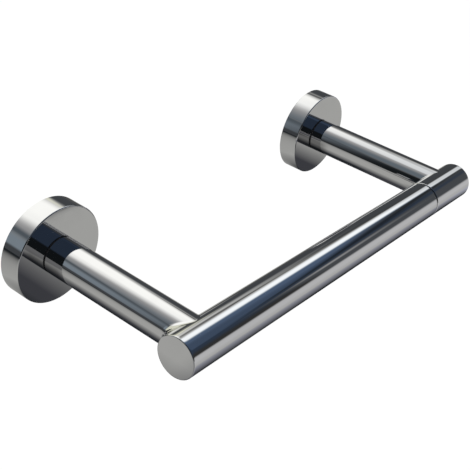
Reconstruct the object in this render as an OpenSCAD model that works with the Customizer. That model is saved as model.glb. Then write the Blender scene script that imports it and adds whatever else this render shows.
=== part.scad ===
// Wall-mounted toilet roll holder with two posts and a bar that lifts.
// The left post and the bar are one arm, which turns in the left flange.
// The bar's free end drops over a rest pin in the head of the right post.
// +X runs along the bar, +Y points into the wall and +Z is up. The wall is the
// plane y = 0, and the origin is midway between the posts, at their height.

/* [Posts and bar] */
// Distance between the axes of the two posts
post_spacing = 188; // [150:1:230]
// Distance from the wall to the axis of the bar
post_reach = 85.5; // [70:0.5:105]
// Outside diameter of both posts
post_d = 17; // [15:0.5:17.5]
// Wall of the post tubes
post_wall = 1.5; // [1:0.1:2]
// Outside diameter of the bar and of the head
bar_d = 18; // [17.5:0.5:22]
// Wall of the bar and head tubes
bar_wall = 1.5; // [1:0.1:2]
// How far the bar runs past the axis of the left post
arm_overhang = 13.5; // [11:0.5:20]
// How far the head runs past the axis of the right post
head_overhang = 14.5; // [11:0.5:20]
// Distance from the axis of the right post to the free end of the bar
seam_offset = 20; // [16:0.5:26]
// Play left between the swinging end of the bar and the head
seam_play = 0.5; // [0.15:0.01:0.8]
// Rounding of the tube edges on both sides of the seam
seam_round = 0.35; // [0.1:0.05:0.5]

/* [End caps] */
// Thickness of the cap plates that close the bar and the head
cap_t = 1.2; // [0.9:0.1:2]
// Rounding of the outer edge of a cap
cap_round = 0.45; // [0.2:0.05:0.8]
// Length of the spigot that holds a cap in its tube
cap_spigot = 6; // [3:0.5:9]
// Wall of the cap spigots
cap_spigot_wall = 1.2; // [0.8:0.1:2]

/* [Flanges] */
// Diameter of the flanges
flange_d = 44; // [42:0.5:56]
// Depth of the flanges, from the wall to their front face
flange_depth = 10; // [8.5:0.5:14]
// Thickness of the front wall of a flange
flange_face = 2.8; // [2.2:0.1:3.6]
// Thickness of the skirt of a flange
flange_skirt = 2.2; // [1.6:0.1:3]
// Rounding of the front edge of a flange
flange_round = 0.5; // [0.2:0.05:1]
// Gap between a flange and its post, which a dark washer fills
seat_gap = 0.5; // [0.4:0.05:0.8]
// How far the pads inside the skirt stand in from it
pad_depth = 2.2; // [1.6:0.1:3]
// Width of the two centring pads
pad_w = 4; // [3:0.5:6]
// Width of the boss that the grub screw is cut in
boss_w = 8; // [6:0.5:10]

/* [Wall plates] */
// Thickness of the wall plates
plate_t = 4.5; // [3.6:0.1:5.4]
// How much smaller a wall plate is at the wall than at its lip
plate_undercut = 1.5; // [1:0.1:2]
// Height of the straight lip at the front of the plate's rim
plate_lip = 0.6; // [0.4:0.1:1]
// Diameter of the holes for the wall screws
wall_hole_d = 4.2; // [3.5:0.1:5]
// Diameter of the countersinks for the wall screws
countersink_d = 7.6; // [6.4:0.1:9]

/* [Pivot] */
// Diameter of the shoulder that the arm turns on
shoulder_d = 6; // [5.5:0.5:7]
// Wall of the pivot bush
bush_wall = 0.7; // [0.5:0.1:1]
// Diameter of the threads in the post plugs
thread_d = 5; // [4:0.5:5.5]
// Length of thread in the post plugs
thread_len = 9; // [6:0.5:11]
// Diameter of the pivot bolt's head
bolt_head_d = 11; // [9:0.5:13]
// Height of the pivot bolt's head
bolt_head_h = 3; // [2.4:0.1:3.6]
// Thickness of the thrust washer
thrust_t = 0.8; // [0.6:0.1:1]
// Height of the disc spring under the bolt head
spring_h = 0.75; // [0.6:0.05:0.9]
// Thickness of the disc spring
spring_t = 0.4; // [0.3:0.05:0.5]
// Length of the plugs in the posts
post_plug_len = 14; // [11:0.5:18]
// Diameter of the stop pin and of the locating pin
stop_pin_d = 1.5; // [1.2:0.1:1.8]
// How deep the stop and locating pins sit in their plugs
stop_pin_depth = 5; // [3:0.5:7]
// Metal left behind the stop slot in the flange
stop_web = 0.8; // [0.6:0.1:1]
// Angle through which the arm lifts
swing_angle = 90; // [60:5:110]

/* [Right post screw] */
// Diameter of the head of the right post's screw
cap_screw_head_d = 8.5; // [7.5:0.5:10]
// Height of the head of the right post's screw
cap_screw_head_h = 3.4; // [2.8:0.1:4]
// Thickness of the split lock washer
lock_washer_t = 1.2; // [0.9:0.1:1.4]

/* [Rest] */
// Diameter of the rest pin
rest_pin_d = 5; // [4:0.5:6]
// How far the rest pin stands out of the head
rest_pin_reach = 4; // [3:0.5:6]
// How deep the rest pin sits in its plug
rest_pin_depth = 8; // [6:0.5:9]
// Play around the rest pin in its slot
rest_play = 0.15; // [0.1:0.05:0.3]
// Length of the plug in the head
head_plug_len = 11; // [9:0.5:14]
// Length of the plug in the free end of the bar
bar_plug_len = 12; // [9:0.5:16]

/* [Grub screws] */
// Diameter of the grub screws
grub_d = 4; // [3:0.5:4.5]
// Height of a grub screw's axis above the wall
grub_height = 3; // [2.6:0.1:3.6]
// How far a grub screw lies below the outside of its flange
grub_recess = 0.35; // [0.2:0.05:0.8]

/* [Hidden] */
$fn = 96;
// Radial gap of pieces that are pressed, brazed or screwed together
fit_gap = 0.02;
// Gap of pieces that turn or slide on each other
run_gap = 0.05;
// Gap of a screw in a clearance hole
screw_gap = 0.25;
// How far a cut runs past the surface it opens
overrun = 1;
// Chamfer on pins, plugs and spigots where they enter
lead_in = 0.4;
// Chamfer at the back end of each post
post_bevel = 0.2;
// Step from the post's outside in to the edge of the seat washer
washer_step = 0.4;
// Play between a wall plate and the pads around it
plate_play = 0.1;
// Room around the bolt heads in the wall plates
head_room = 1;
// Width across the flats of the hex socket in a grub screw, as a share
grub_socket_share = 0.5;
// Width across the flats of the hex sockets in the bolt heads, as a share
head_socket_share = 0.42;
// Depth of a hex socket, as a share of the head or screw it is in
socket_depth_share = 0.5;
// Where the stop pin stands at rest, and the free angle below and above
stop_rest_angle = -45;
stop_free_low = 3;
stop_free_high = 1;
// Directions of the two centring pads inside a flange
pad_angles = [30, 150];
// Angle left open by the split in the lock washer
split_angle = 12;
hex_sides = 6;

// Radii
post_r = post_d / 2;
post_bore_r = post_r - post_wall;
post_plug_r = post_bore_r - fit_gap;
bar_r = bar_d / 2;
bar_bore_r = bar_r - bar_wall;
bar_plug_r = bar_bore_r - fit_gap;
flange_r = flange_d / 2;
cavity_r = flange_r - flange_skirt;
pad_r = cavity_r - pad_depth;
plate_r = pad_r - plate_play;
shoulder_r = shoulder_d / 2;
bush_bore_r = shoulder_r + run_gap;
bush_r = bush_bore_r + bush_wall;
thread_r = thread_d / 2;
bolt_head_r = bolt_head_d / 2;
cap_screw_head_r = cap_screw_head_d / 2;
stop_pin_r = stop_pin_d / 2;
stop_pitch_r = (bush_r + fit_gap + post_plug_r) / 2;
seat_washer_r = post_r - washer_step;
grub_r = grub_d / 2;
rest_pin_r = rest_pin_d / 2;
rest_slot_r = rest_pin_r + rest_play;
plate_hole_r = max(bolt_head_r, cap_screw_head_r) + head_room;
wall_hole_pitch_r = (plate_hole_r + plate_r) / 2;

// Places along a post, measured out from the wall
inner_z = flange_depth - flange_face;
post_z = flange_depth + seat_gap;
spring_top_z = inner_z - thrust_t - run_gap;
bolt_head_z = spring_top_z - spring_h;
cap_screw_head_z = inner_z - lock_washer_t;
stop_slot_z = inner_z + stop_web;
stop_pin_z = stop_slot_z + run_gap;
bevel_top_z = plate_t - plate_lip;

// Places along the bar
left_post_x = -post_spacing / 2;
right_post_x = post_spacing / 2;
bar_left_x = left_post_x - arm_overhang;
bar_end_x = right_post_x - seam_offset;
swing_len = bar_end_x - left_post_x;
corner_gain = sqrt(swing_len * swing_len + bar_r * bar_r) - swing_len;
seam_gap = corner_gain + seam_play;
head_x = bar_end_x + seam_gap;
head_right_x = right_post_x + head_overhang;
rest_tip_x = head_x - rest_pin_reach;
rest_slot_x = rest_tip_x - seam_gap;

// Places its children on a post: +Z out of the wall, +Y up
module on_post(x) {
    translate([x, 0, 0]) rotate([90, 0, 0]) children();
}

// Places its children on the bar: +Z along the bar, +X down
module on_bar(x) {
    translate([x, -post_reach, 0]) rotate([0, 90, 0]) children();
}

module ring(outer_r, inner_r, low, high) {
    translate([0, 0, low]) difference() {
        cylinder(r = outer_r, h = high - low);
        translate([0, 0, -overrun]) cylinder(r = inner_r, h = high - low + 2 * overrun);
    }
}

// Half section of a disc with its outer front edge rounded
module rounded_half(r, h, round_r) {
    square([r - round_r, h]);
    square([r, h - round_r]);
    translate([r - round_r, h - round_r]) circle(r = round_r);
}

// A solid pin along Z with a chamfer at both ends
module pin(r, low, high, chamfer) {
    rotate_extrude() polygon([
        [0, low], [r - chamfer, low], [r, low + chamfer],
        [r, high - chamfer], [r - chamfer, high], [0, high]
    ]);
}

module hex_socket(across, depth) {
    rotate([0, 0, 180 / hex_sides])
        cylinder(r = across / 2 / cos(180 / hex_sides), h = depth + overrun, $fn = hex_sides);
}

// Wall plate with an undercut rim, countersunk holes and room for a bolt head
module wall_plate() {
    color("lightsteelblue") difference() {
        rotate_extrude() polygon([
            [plate_hole_r, 0], [plate_r - plate_undercut, 0], [plate_r, bevel_top_z],
            [plate_r, plate_t], [plate_hole_r, plate_t]
        ]);
        for (side = [-1, 1]) translate([0, side * wall_hole_pitch_r, 0]) {
            translate([0, 0, -overrun]) cylinder(d = wall_hole_d, h = plate_t + 2 * overrun);
            translate([0, 0, plate_t - (countersink_d - wall_hole_d) / 2])
                cylinder(d1 = wall_hole_d, d2 = countersink_d, h = (countersink_d - wall_hole_d) / 2);
        }
    }
}

// A pad inside the skirt, with its own face at pad_r
module skirt_pad(angle, width) {
    rotate([0, 0, angle]) translate([pad_r, -width / 2, 0])
        cube([pad_depth + flange_skirt / 2, width, inner_z + flange_face / 2]);
}

// Flange: an open cup with pads and a grub screw boss, and its front wall cut by its children
module flange() {
    color("silver") difference() {
        union() {
            difference() {
                rotate_extrude() rounded_half(flange_r, flange_depth, flange_round);
                translate([0, 0, -overrun]) cylinder(r = cavity_r, h = inner_z + overrun);
            }
            for (angle = pad_angles) skirt_pad(angle, pad_w);
            skirt_pad(-90, boss_w);
        }
        translate([0, 0, grub_height]) rotate([90, 0, 0])
            cylinder(r = grub_r + fit_gap, h = flange_r + overrun);
        children();
    }
}

// The arc that the stop pin travels in, open at the front face, with wider drilled ends
module stop_slot() {
    slot_r = stop_pin_r + run_gap;
    first = stop_rest_angle - stop_free_low;
    last = stop_rest_angle + swing_angle + stop_free_high;
    depth = flange_depth - stop_slot_z + overrun;
    translate([0, 0, stop_slot_z]) {
        rotate([0, 0, first]) rotate_extrude(angle = last - first)
            translate([stop_pitch_r - slot_r, 0]) square([2 * slot_r, depth]);
        for (angle = [first, last]) rotate([0, 0, angle]) translate([stop_pitch_r, 0, 0])
            cylinder(r = slot_r + run_gap, h = depth);
    }
}

module at_stop_pin() {
    rotate([0, 0, stop_rest_angle]) translate([stop_pitch_r, 0, 0]) children();
}

module left_flange() {
    on_post(left_post_x) flange() {
        cylinder(r = bush_r + fit_gap, h = flange_depth + overrun);
        stop_slot();
    }
}

module right_flange() {
    on_post(right_post_x) flange() {
        cylinder(r = thread_r + screw_gap, h = flange_depth + overrun);
        at_stop_pin() translate([0, 0, stop_slot_z])
            cylinder(r = stop_pin_r + fit_gap, h = flange_face);
    }
}

// Grub screw with a cone point that bears on the undercut rim of the wall plate
module grub_screw() {
    point_r = plate_r - plate_undercut * (1 - grub_height / bevel_top_z) + fit_gap;
    length = flange_r - grub_recess - point_r;
    color("dimgray") translate([0, 0, grub_height]) rotate([90, 0, 0])
        translate([0, 0, point_r]) difference() {
            rotate_extrude() polygon([[0, 0], [grub_r, grub_r], [grub_r, length], [0, length]]);
            translate([0, 0, length * (1 - socket_depth_share)])
                hex_socket(grub_d * grub_socket_share, length);
        }
}

module pivot_bush() {
    color("white") on_post(left_post_x) ring(bush_r, bush_bore_r, inner_z, flange_depth);
}

module thrust_washer() {
    color("ivory") on_post(left_post_x)
        ring(bolt_head_r, bush_bore_r, inner_z - thrust_t, inner_z);
}

module disc_spring() {
    inner_r = shoulder_r + run_gap;
    color("slategray") on_post(left_post_x) rotate_extrude() polygon([
        [inner_r, bolt_head_z], [inner_r, bolt_head_z + spring_t],
        [bolt_head_r, spring_top_z], [bolt_head_r, spring_top_z - spring_t]
    ]);
}

// Shoulder bolt: the head holds the arm on, the shoulder turns in the bush
module pivot_bolt() {
    head_low = bolt_head_z - bolt_head_h;
    color("gray") on_post(left_post_x) difference() {
        union() {
            pin(bolt_head_r, head_low, bolt_head_z, lead_in);
            translate([0, 0, bolt_head_z - lead_in])
                cylinder(r = shoulder_r, h = post_z - bolt_head_z + lead_in);
            pin(thread_r, post_z - lead_in, post_z + thread_len, lead_in);
        }
        translate([0, 0, head_low + bolt_head_h * socket_depth_share]) mirror([0, 0, 1])
            hex_socket(bolt_head_d * head_socket_share, bolt_head_h);
    }
}

// The pin that stops or locates a post, standing out of the post's plug
module post_pin() {
    color("gainsboro") at_stop_pin()
        pin(stop_pin_r, stop_pin_z, post_z + stop_pin_depth, stop_pin_r / 3);
}

module seat_washer() {
    color("#202020") difference() {
        ring(seat_washer_r, bush_bore_r, flange_depth + run_gap, post_z);
        at_stop_pin() cylinder(r = stop_pin_r + run_gap, h = post_z);
    }
}

// Plug in the back of a post, tapped on its axis and drilled for the pin
module post_plug() {
    color("goldenrod") translate([0, 0, post_z]) difference() {
        pin(post_plug_r, 0, post_plug_len, lead_in);
        translate([0, 0, -overrun])
            cylinder(r = thread_r + fit_gap, h = thread_len + 2 * overrun);
        at_stop_pin() translate([0, 0, -overrun])
            cylinder(r = stop_pin_r + fit_gap, h = stop_pin_depth + fit_gap + overrun);
    }
}

// Post tube, its front end coped to sit round the bar
module post() {
    color("silver") difference() {
        rotate_extrude() polygon([
            [post_bore_r, post_z], [post_r - post_bevel, post_z], [post_r, post_z + post_bevel],
            [post_r, post_reach], [post_bore_r, post_reach]
        ]);
        translate([-post_d, 0, post_reach]) rotate([0, 90, 0])
            cylinder(r = bar_r + fit_gap, h = 2 * post_d);
    }
}

// Screw that holds the right post, from inside its flange
module right_post_screw() {
    head_low = cap_screw_head_z - cap_screw_head_h;
    color("gray") on_post(right_post_x) difference() {
        union() {
            pin(cap_screw_head_r, head_low, cap_screw_head_z, lead_in);
            pin(thread_r, cap_screw_head_z - lead_in, post_z + thread_len, lead_in);
        }
        translate([0, 0, head_low + cap_screw_head_h * socket_depth_share]) mirror([0, 0, 1])
            hex_socket(cap_screw_head_d * head_socket_share, cap_screw_head_h);
    }
}

module right_lock_washer() {
    inner_r = thread_r + screw_gap;
    color("slategray") on_post(right_post_x) translate([0, 0, cap_screw_head_z])
        rotate([0, 0, 90 + split_angle / 2]) rotate_extrude(angle = 360 - split_angle)
            translate([inner_r, 0]) square([cap_screw_head_r - inner_r, lock_washer_t]);
}

// A length of the bar's tube along +Z, with its seam end at z = 0 rounded
module bar_stock(length) {
    color("silver") difference() {
        translate([0, 0, length]) mirror([0, 0, 1]) rotate_extrude()
            rounded_half(bar_r, length, seam_round);
        translate([0, 0, -overrun]) cylinder(r = bar_bore_r, h = length + 2 * overrun);
    }
}

// What the free end of the bar drops over the rest pin with, open at the underside
module rest_slot() {
    depth = bar_end_x - rest_slot_x + overrun;
    on_bar(rest_slot_x) {
        cylinder(r = rest_slot_r, h = depth);
        translate([0, -rest_slot_r, 0]) cube([bar_r + overrun, 2 * rest_slot_r, depth]);
    }
}

module bar_tube() {
    difference() {
        on_bar(bar_end_x) mirror([0, 0, 1]) bar_stock(bar_end_x - bar_left_x - cap_t);
        rest_slot();
    }
}

module bar_end_plug() {
    color("goldenrod") difference() {
        on_bar(bar_end_x) mirror([0, 0, 1]) pin(bar_plug_r, 0, bar_plug_len, seam_round);
        rest_slot();
    }
}

// Cap with a rounded edge and a hollow spigot: the plate's back lies at z = 0
module tube_cap() {
    color("silver") {
        rotate_extrude() rounded_half(bar_r, cap_t, cap_round);
        mirror([0, 0, 1]) rotate_extrude() polygon([
            [bar_plug_r - cap_spigot_wall, 0], [bar_plug_r, 0],
            [bar_plug_r, cap_spigot - lead_in], [bar_plug_r - lead_in, cap_spigot],
            [bar_plug_r - cap_spigot_wall, cap_spigot]
        ]);
    }
}

module bar_cap() {
    on_bar(bar_left_x + cap_t) mirror([0, 0, 1]) tube_cap();
}

module head_tube() {
    on_bar(head_x) bar_stock(head_right_x - cap_t - head_x);
}

module head_cap() {
    on_bar(head_right_x - cap_t) tube_cap();
}

module head_plug() {
    color("goldenrod") on_bar(head_x) difference() {
        pin(bar_plug_r, 0, head_plug_len, seam_round);
        translate([0, 0, -overrun])
            cylinder(r = rest_pin_r + fit_gap, h = rest_pin_depth + fit_gap + overrun);
    }
}

module rest_pin() {
    color("gainsboro") on_bar(rest_tip_x)
        pin(rest_pin_r, 0, rest_pin_reach + rest_pin_depth, lead_in);
}

on_post(left_post_x) wall_plate();  // left_wall_plate
on_post(right_post_x) wall_plate();  // right_wall_plate
left_flange();
right_flange();
on_post(left_post_x) grub_screw();  // left_grub_screw
on_post(right_post_x) grub_screw();  // right_grub_screw
pivot_bush();
thrust_washer();
disc_spring();
pivot_bolt();
on_post(left_post_x) post_pin();  // stop_pin
on_post(left_post_x) seat_washer();  // left_seat_washer
on_post(left_post_x) post_plug();  // left_post_plug
on_post(left_post_x) post();  // left_post
bar_tube();
bar_cap();
bar_end_plug();
on_post(right_post_x) seat_washer();  // right_seat_washer
on_post(right_post_x) post_plug();  // right_post_plug
on_post(right_post_x) post();  // right_post
right_post_screw();
right_lock_washer();
on_post(right_post_x) post_pin();  // locating_pin
head_tube();
head_cap();
head_plug();
rest_pin();
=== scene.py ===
"""Looks of a wall-mounted toilet roll holder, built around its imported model.

Two round posts stand on disc flanges. The left post and the bar are one arm, which turns in the left
flange, and the free end of the bar drops over a pin in the head of the right post. Every piece of the
model gets a finer mesh of the same size, a procedural finish and the body that it moves with. +X runs
along the bar, +Y points into the wall and +Z is up. Lengths are in metres.
"""
import logging
import math
from dataclasses import dataclass, field
from enum import Enum
from typing import Callable, Iterable, Optional, Sequence, Union

import bmesh
import bpy
from mathutils import Matrix, Vector


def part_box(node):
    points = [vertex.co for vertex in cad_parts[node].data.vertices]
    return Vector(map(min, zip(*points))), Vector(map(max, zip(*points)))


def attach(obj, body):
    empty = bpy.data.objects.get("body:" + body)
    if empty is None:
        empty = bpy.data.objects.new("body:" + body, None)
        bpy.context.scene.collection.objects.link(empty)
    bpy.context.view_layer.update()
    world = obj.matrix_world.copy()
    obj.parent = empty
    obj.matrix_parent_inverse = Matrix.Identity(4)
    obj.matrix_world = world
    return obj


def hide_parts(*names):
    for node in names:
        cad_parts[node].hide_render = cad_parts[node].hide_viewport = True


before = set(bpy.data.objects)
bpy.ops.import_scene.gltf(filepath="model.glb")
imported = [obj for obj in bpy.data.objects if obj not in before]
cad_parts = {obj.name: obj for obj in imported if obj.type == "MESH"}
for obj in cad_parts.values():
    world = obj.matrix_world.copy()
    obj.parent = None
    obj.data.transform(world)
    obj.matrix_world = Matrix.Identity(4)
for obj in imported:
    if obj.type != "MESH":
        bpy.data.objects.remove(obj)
log = logging.getLogger("roll_holder")

MM = 0.001
OVERRUN = 1 * MM
FIT_GAP = 0.02 * MM
EASED_EDGE = 0.1 * MM
FULL_TURN = 2 * math.pi
SEGMENTS = 160
LEAST_SEGMENTS = 8
ARC_STEPS = 8
SLOT_STEPS = 24
SHARP_ANGLE = math.radians(28)
MERGE_DISTANCE = 1e-7
WELD_DISTANCE = 1e-6

Number = Union[int, float]
Point2 = tuple[float, float]
Colour = tuple[float, float, float]
Paint = tuple[float, float, float, float]


class Body(Enum):
    """The two bodies of the holder."""

    WALL_SET = "wall_set"
    ARM = "arm"


class Slot(Enum):
    """The material slots of the record."""

    CHROME = "polished_chrome"
    ZINC = "zinc_plated_steel"
    STAINLESS = "stainless_steel"
    SPRING = "spring_steel"
    BRASS = "turned_brass"
    ACETAL = "white_acetal"
    NYLON = "black_nylon"


class Tint(Enum):
    """Tints of the light tent's cards, as multipliers of a grey."""

    NEUTRAL = (1.0, 1.0, 1.0)
    WARM = (1.01, 1.01, 0.965)
    CREAM = (1.03, 1.03, 0.84)
    FROST = (0.97, 1.0, 1.01)
    MIST = (0.93, 1.0, 1.085)
    LILAC = (0.945, 0.965, 1.1)
    COOL = (0.85, 1.01, 1.15)
    SLATE = (0.77, 0.99, 1.28)
    NAVY = (0.64, 0.95, 1.53)


def linear(level: float) -> float:
    """Turns a display level into linear light.

    Args:
        level: a grey on the display's scale, from 0 to 1.

    Returns:
        The same grey as linear light.
    """
    if level <= 0.04045:
        return level / 12.92
    return ((level + 0.055) / 1.055) ** 2.4


def opaque(colour: Sequence[float]) -> Paint:
    """Adds full alpha to a linear colour."""
    return (*colour, 1.0)


def shade_of(level: float, tint: Tint) -> Paint:
    """Gives a tinted grey of the display's scale as an opaque linear colour."""
    return opaque([linear(level) * share for share in tint.value])


class Socket:
    """An output socket whose arithmetic adds the nodes that work it out."""

    def __init__(self, tree: "Tree", output: bpy.types.NodeSocket) -> None:
        """Keeps the tree and the output that it stands for."""
        self.tree = tree
        self.output = output

    @property
    def is_vector(self) -> bool:
        """True if the socket carries a vector."""
        return self.output.type == "VECTOR"

    def _combine(self, operation: str, first: "Operand", second: "Operand") -> "Socket":
        """Adds a Math or Vector Math node for two operands.

        Args:
            operation: the node's operation.
            first: the left operand.
            second: the right operand.

        Returns:
            The node's output.
        """
        vectors = [isinstance(o, Socket) and o.is_vector for o in (first, second)]
        if not any(vectors):
            return self.tree.add("ShaderNodeMath", {"operation": operation}, {0: first, 1: second})
        if operation == "MULTIPLY" and not all(vectors):
            vector, factor = (first, second) if vectors[0] else (second, first)
            return self.tree.add("ShaderNodeVectorMath", {"operation": "SCALE"}, {0: vector, 3: factor})
        return self.tree.add("ShaderNodeVectorMath", {"operation": operation}, {0: first, 1: second})

    def __add__(self, other: "Operand") -> "Socket":
        """Returns self + other."""
        return self._combine("ADD", self, other)

    def __radd__(self, other: "Operand") -> "Socket":
        """Returns other + self."""
        return self._combine("ADD", other, self)

    def __sub__(self, other: "Operand") -> "Socket":
        """Returns self - other."""
        return self._combine("SUBTRACT", self, other)

    def __rsub__(self, other: "Operand") -> "Socket":
        """Returns other - self."""
        return self._combine("SUBTRACT", other, self)

    def __mul__(self, other: "Operand") -> "Socket":
        """Returns self * other."""
        return self._combine("MULTIPLY", self, other)

    def __rmul__(self, other: "Operand") -> "Socket":
        """Returns other * self."""
        return self._combine("MULTIPLY", other, self)

    def __truediv__(self, other: "Operand") -> "Socket":
        """Returns self / other."""
        return self._combine("DIVIDE", self, other)

    def __neg__(self) -> "Socket":
        """Returns -self."""
        return self * -1.0

    def function(self, operation: str, *others: "Operand") -> "Socket":
        """Adds any other Math operation.

        Args:
            operation: the Math node's operation, such as SINE.
            *others: its further operands.

        Returns:
            The node's output.
        """
        operands = dict(enumerate((self, *others)))
        return self.tree.add("ShaderNodeMath", {"operation": operation}, operands)

    def xyz(self) -> tuple["Socket", "Socket", "Socket"]:
        """Splits a vector into its three parts."""
        node = self.tree.node("ShaderNodeSeparateXYZ", {}, {0: self})
        return tuple(Socket(self.tree, out) for out in node.outputs[:3])

    def unit(self) -> "Socket":
        """Returns the vector at length 1."""
        return self.tree.add("ShaderNodeVectorMath", {"operation": "NORMALIZE"}, {0: self})

    def rise(self, low: float, high: float) -> "Socket":
        """Rises smoothly from 0 at low to 1 at high."""
        settings = {"interpolation_type": "SMOOTHSTEP"}
        return self.tree.add("ShaderNodeMapRange", settings, {0: self, 1: low, 2: high})

    def ramp(self, low: float, high: float) -> "Socket":
        """Rises evenly from 0 at low to 1 at high."""
        return self.tree.add("ShaderNodeMapRange", {}, {0: self, 1: low, 2: high})


Operand = Union[Socket, Number, Sequence[float]]


class Tree:
    """A node tree with one method that adds any node."""

    def __init__(self, tree: bpy.types.NodeTree) -> None:
        """Empties the tree and keeps it."""
        self.tree = tree
        tree.nodes.clear()

    def node(self, kind: str, settings: Optional[dict] = None,
             inputs: Optional[dict] = None) -> bpy.types.Node:
        """Adds a node, sets it up and links it.

        Args:
            kind: the node's type.
            settings: its properties by name, which are set first.
            inputs: values or sockets by the name or number of its inputs.

        Returns:
            The new node.
        """
        made = self.tree.nodes.new(kind)
        for name, value in (settings or {}).items():
            setattr(made, name, value)
        for key, value in (inputs or {}).items():
            if isinstance(value, Socket):
                self.tree.links.new(value.output, made.inputs[key])
            else:
                made.inputs[key].default_value = value
        return made

    def add(self, kind: str, settings: Optional[dict] = None, inputs: Optional[dict] = None,
            output: Union[int, str] = 0) -> Socket:
        """Adds a node as node() does, and returns one of its outputs.

        Args:
            kind: the node's type.
            settings: its properties.
            inputs: its inputs.
            output: the name or number of the output that is wanted.

        Returns:
            That output.
        """
        return Socket(self, self.node(kind, settings, inputs).outputs[output])

    def vector(self, x: Operand, y: Operand, z: Operand) -> Socket:
        """Joins three numbers into a vector."""
        return self.add("ShaderNodeCombineXYZ", {}, {0: x, 1: y, 2: z})

    def blend(self, factor: Operand, first: Operand, second: Operand) -> Socket:
        """Mixes two colours by a factor from 0, the first, to 1, the second."""
        return self.add("ShaderNodeMix", {"data_type": "RGBA"}, {0: factor, 6: first, 7: second}, 2)

    def painted(self, base: Operand, coats: Iterable[tuple[Socket, float, Tint]]) -> Operand:
        """Paints tinted greys over a base colour.

        Args:
            base: the colour below.
            coats: a mask, a level and a tint for each coat, the lowest coat first.

        Returns:
            The colour on top.
        """
        for mask, level, tint in coats:
            base = self.blend(mask, base, shade_of(level, tint))
        return base

    def point(self) -> Socket:
        """Gives the shaded point in Object coordinates, which are the row frame's."""
        return self.add("ShaderNodeTexCoord", {}, {}, "Object")


def new_material(name: str) -> tuple[bpy.types.Material, Tree]:
    """Makes a material with an empty node tree.

    Args:
        name: the material's name.

    Returns:
        The material and its tree.
    """
    made = bpy.data.materials.new(name)
    made.use_nodes = True
    return made, Tree(made.node_tree)


@dataclass(frozen=True)
class Place:
    """Where a piece's own axes lie: w runs along its axis, u and v across it."""

    origin: Vector
    u: Vector
    v: Vector
    w: Vector

    def matrix(self) -> Matrix:
        """Returns the matrix from the piece's own axes to the row frame."""
        turn = Matrix((self.u, self.v, self.w)).transposed().to_4x4()
        return Matrix.Translation(self.origin) @ turn

    @classmethod
    def on_post(cls, x: float) -> "Place":
        """Gives the place on a post's axis: w runs out of the wall and v runs up."""
        return cls(Vector((x, 0, 0)), Vector((1, 0, 0)), Vector((0, 0, 1)), Vector((0, -1, 0)))

    @classmethod
    def on_bar(cls, y: float) -> "Place":
        """Gives the place on the bar's axis: w is the row's x and u runs down."""
        return cls(Vector((0, y, 0)), Vector((0, 0, -1)), Vector((0, 1, 0)), Vector((1, 0, 0)))

    @classmethod
    def in_skirt(cls, x: float, height: float) -> "Place":
        """Gives the place of a screw in the underside of a flange: w runs down."""
        return cls(Vector((x, -height, 0)), Vector((1, 0, 0)), Vector((0, -1, 0)), Vector((0, 0, -1)))


@dataclass(frozen=True)
class Layout:
    """The sizes that all sub-assemblies share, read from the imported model."""

    left_x: float
    right_x: float
    bar_y: float
    bar_r: float
    bar_left: float
    bar_end: float
    head_start: float
    head_right: float
    post_r: float
    post_back: float
    flange_r: float
    flange_depth: float

    @classmethod
    def from_frame(cls) -> "Layout":
        """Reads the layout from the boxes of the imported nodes.

        Returns:
            The layout.
        """
        bar_low, bar_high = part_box("bar_tube")
        head_low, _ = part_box("head_tube")
        cap_low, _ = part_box("bar_cap")
        _, head_cap_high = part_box("head_cap")
        post_low, post_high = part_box("left_post")
        right_low, right_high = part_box("right_post")
        flange_low, flange_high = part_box("left_flange")
        return cls(
            left_x=(post_low.x + post_high.x) / 2,
            right_x=(right_low.x + right_high.x) / 2,
            bar_y=(bar_low.y + bar_high.y) / 2,
            bar_r=bar_high.z,
            bar_left=cap_low.x,
            bar_end=bar_high.x,
            head_start=head_low.x,
            head_right=head_cap_high.x,
            post_r=(post_high.x - post_low.x) / 2,
            post_back=-post_high.y,
            flange_r=flange_high.z,
            flange_depth=-flange_low.y,
        )


def arc(centre: Point2, radius: float, start: float, end: float, steps: int = ARC_STEPS) -> list[Point2]:
    """Gives points on an arc.

    Args:
        centre: the arc's centre.
        radius: its radius.
        start: the angle it starts at, in degrees.
        end: the angle it ends at.
        steps: the number of steps between them.

    Returns:
        The points, both ends included.
    """
    angles = [math.radians(start + (end - start) * i / steps) for i in range(steps + 1)]
    return [(centre[0] + radius * math.cos(a), centre[1] + radius * math.sin(a)) for a in angles]


def pin_profile(radius: float, low: float, high: float, chamfer: float) -> list[Point2]:
    """Gives the half section of a solid pin with both ends chamfered."""
    return ring_profile(radius, 0, low, high, chamfer)


def ring_profile(outer: float, inner: float, low: float, high: float, edge: float = 0.0) -> list[Point2]:
    """Gives the half section of a ring.

    Args:
        outer: its outer radius.
        inner: its inner radius.
        low: where it begins along w.
        high: where it ends.
        edge: the chamfer of its outer edges, or 0 for sharp ones.

    Returns:
        The section as (radius, w) points.
    """
    if edge == 0:
        return [(inner, low), (outer, low), (outer, high), (inner, high)]
    return [
        (inner, low), (outer - edge, low), (outer, low + edge),
        (outer, high - edge), (outer - edge, high), (inner, high),
    ]


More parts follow.
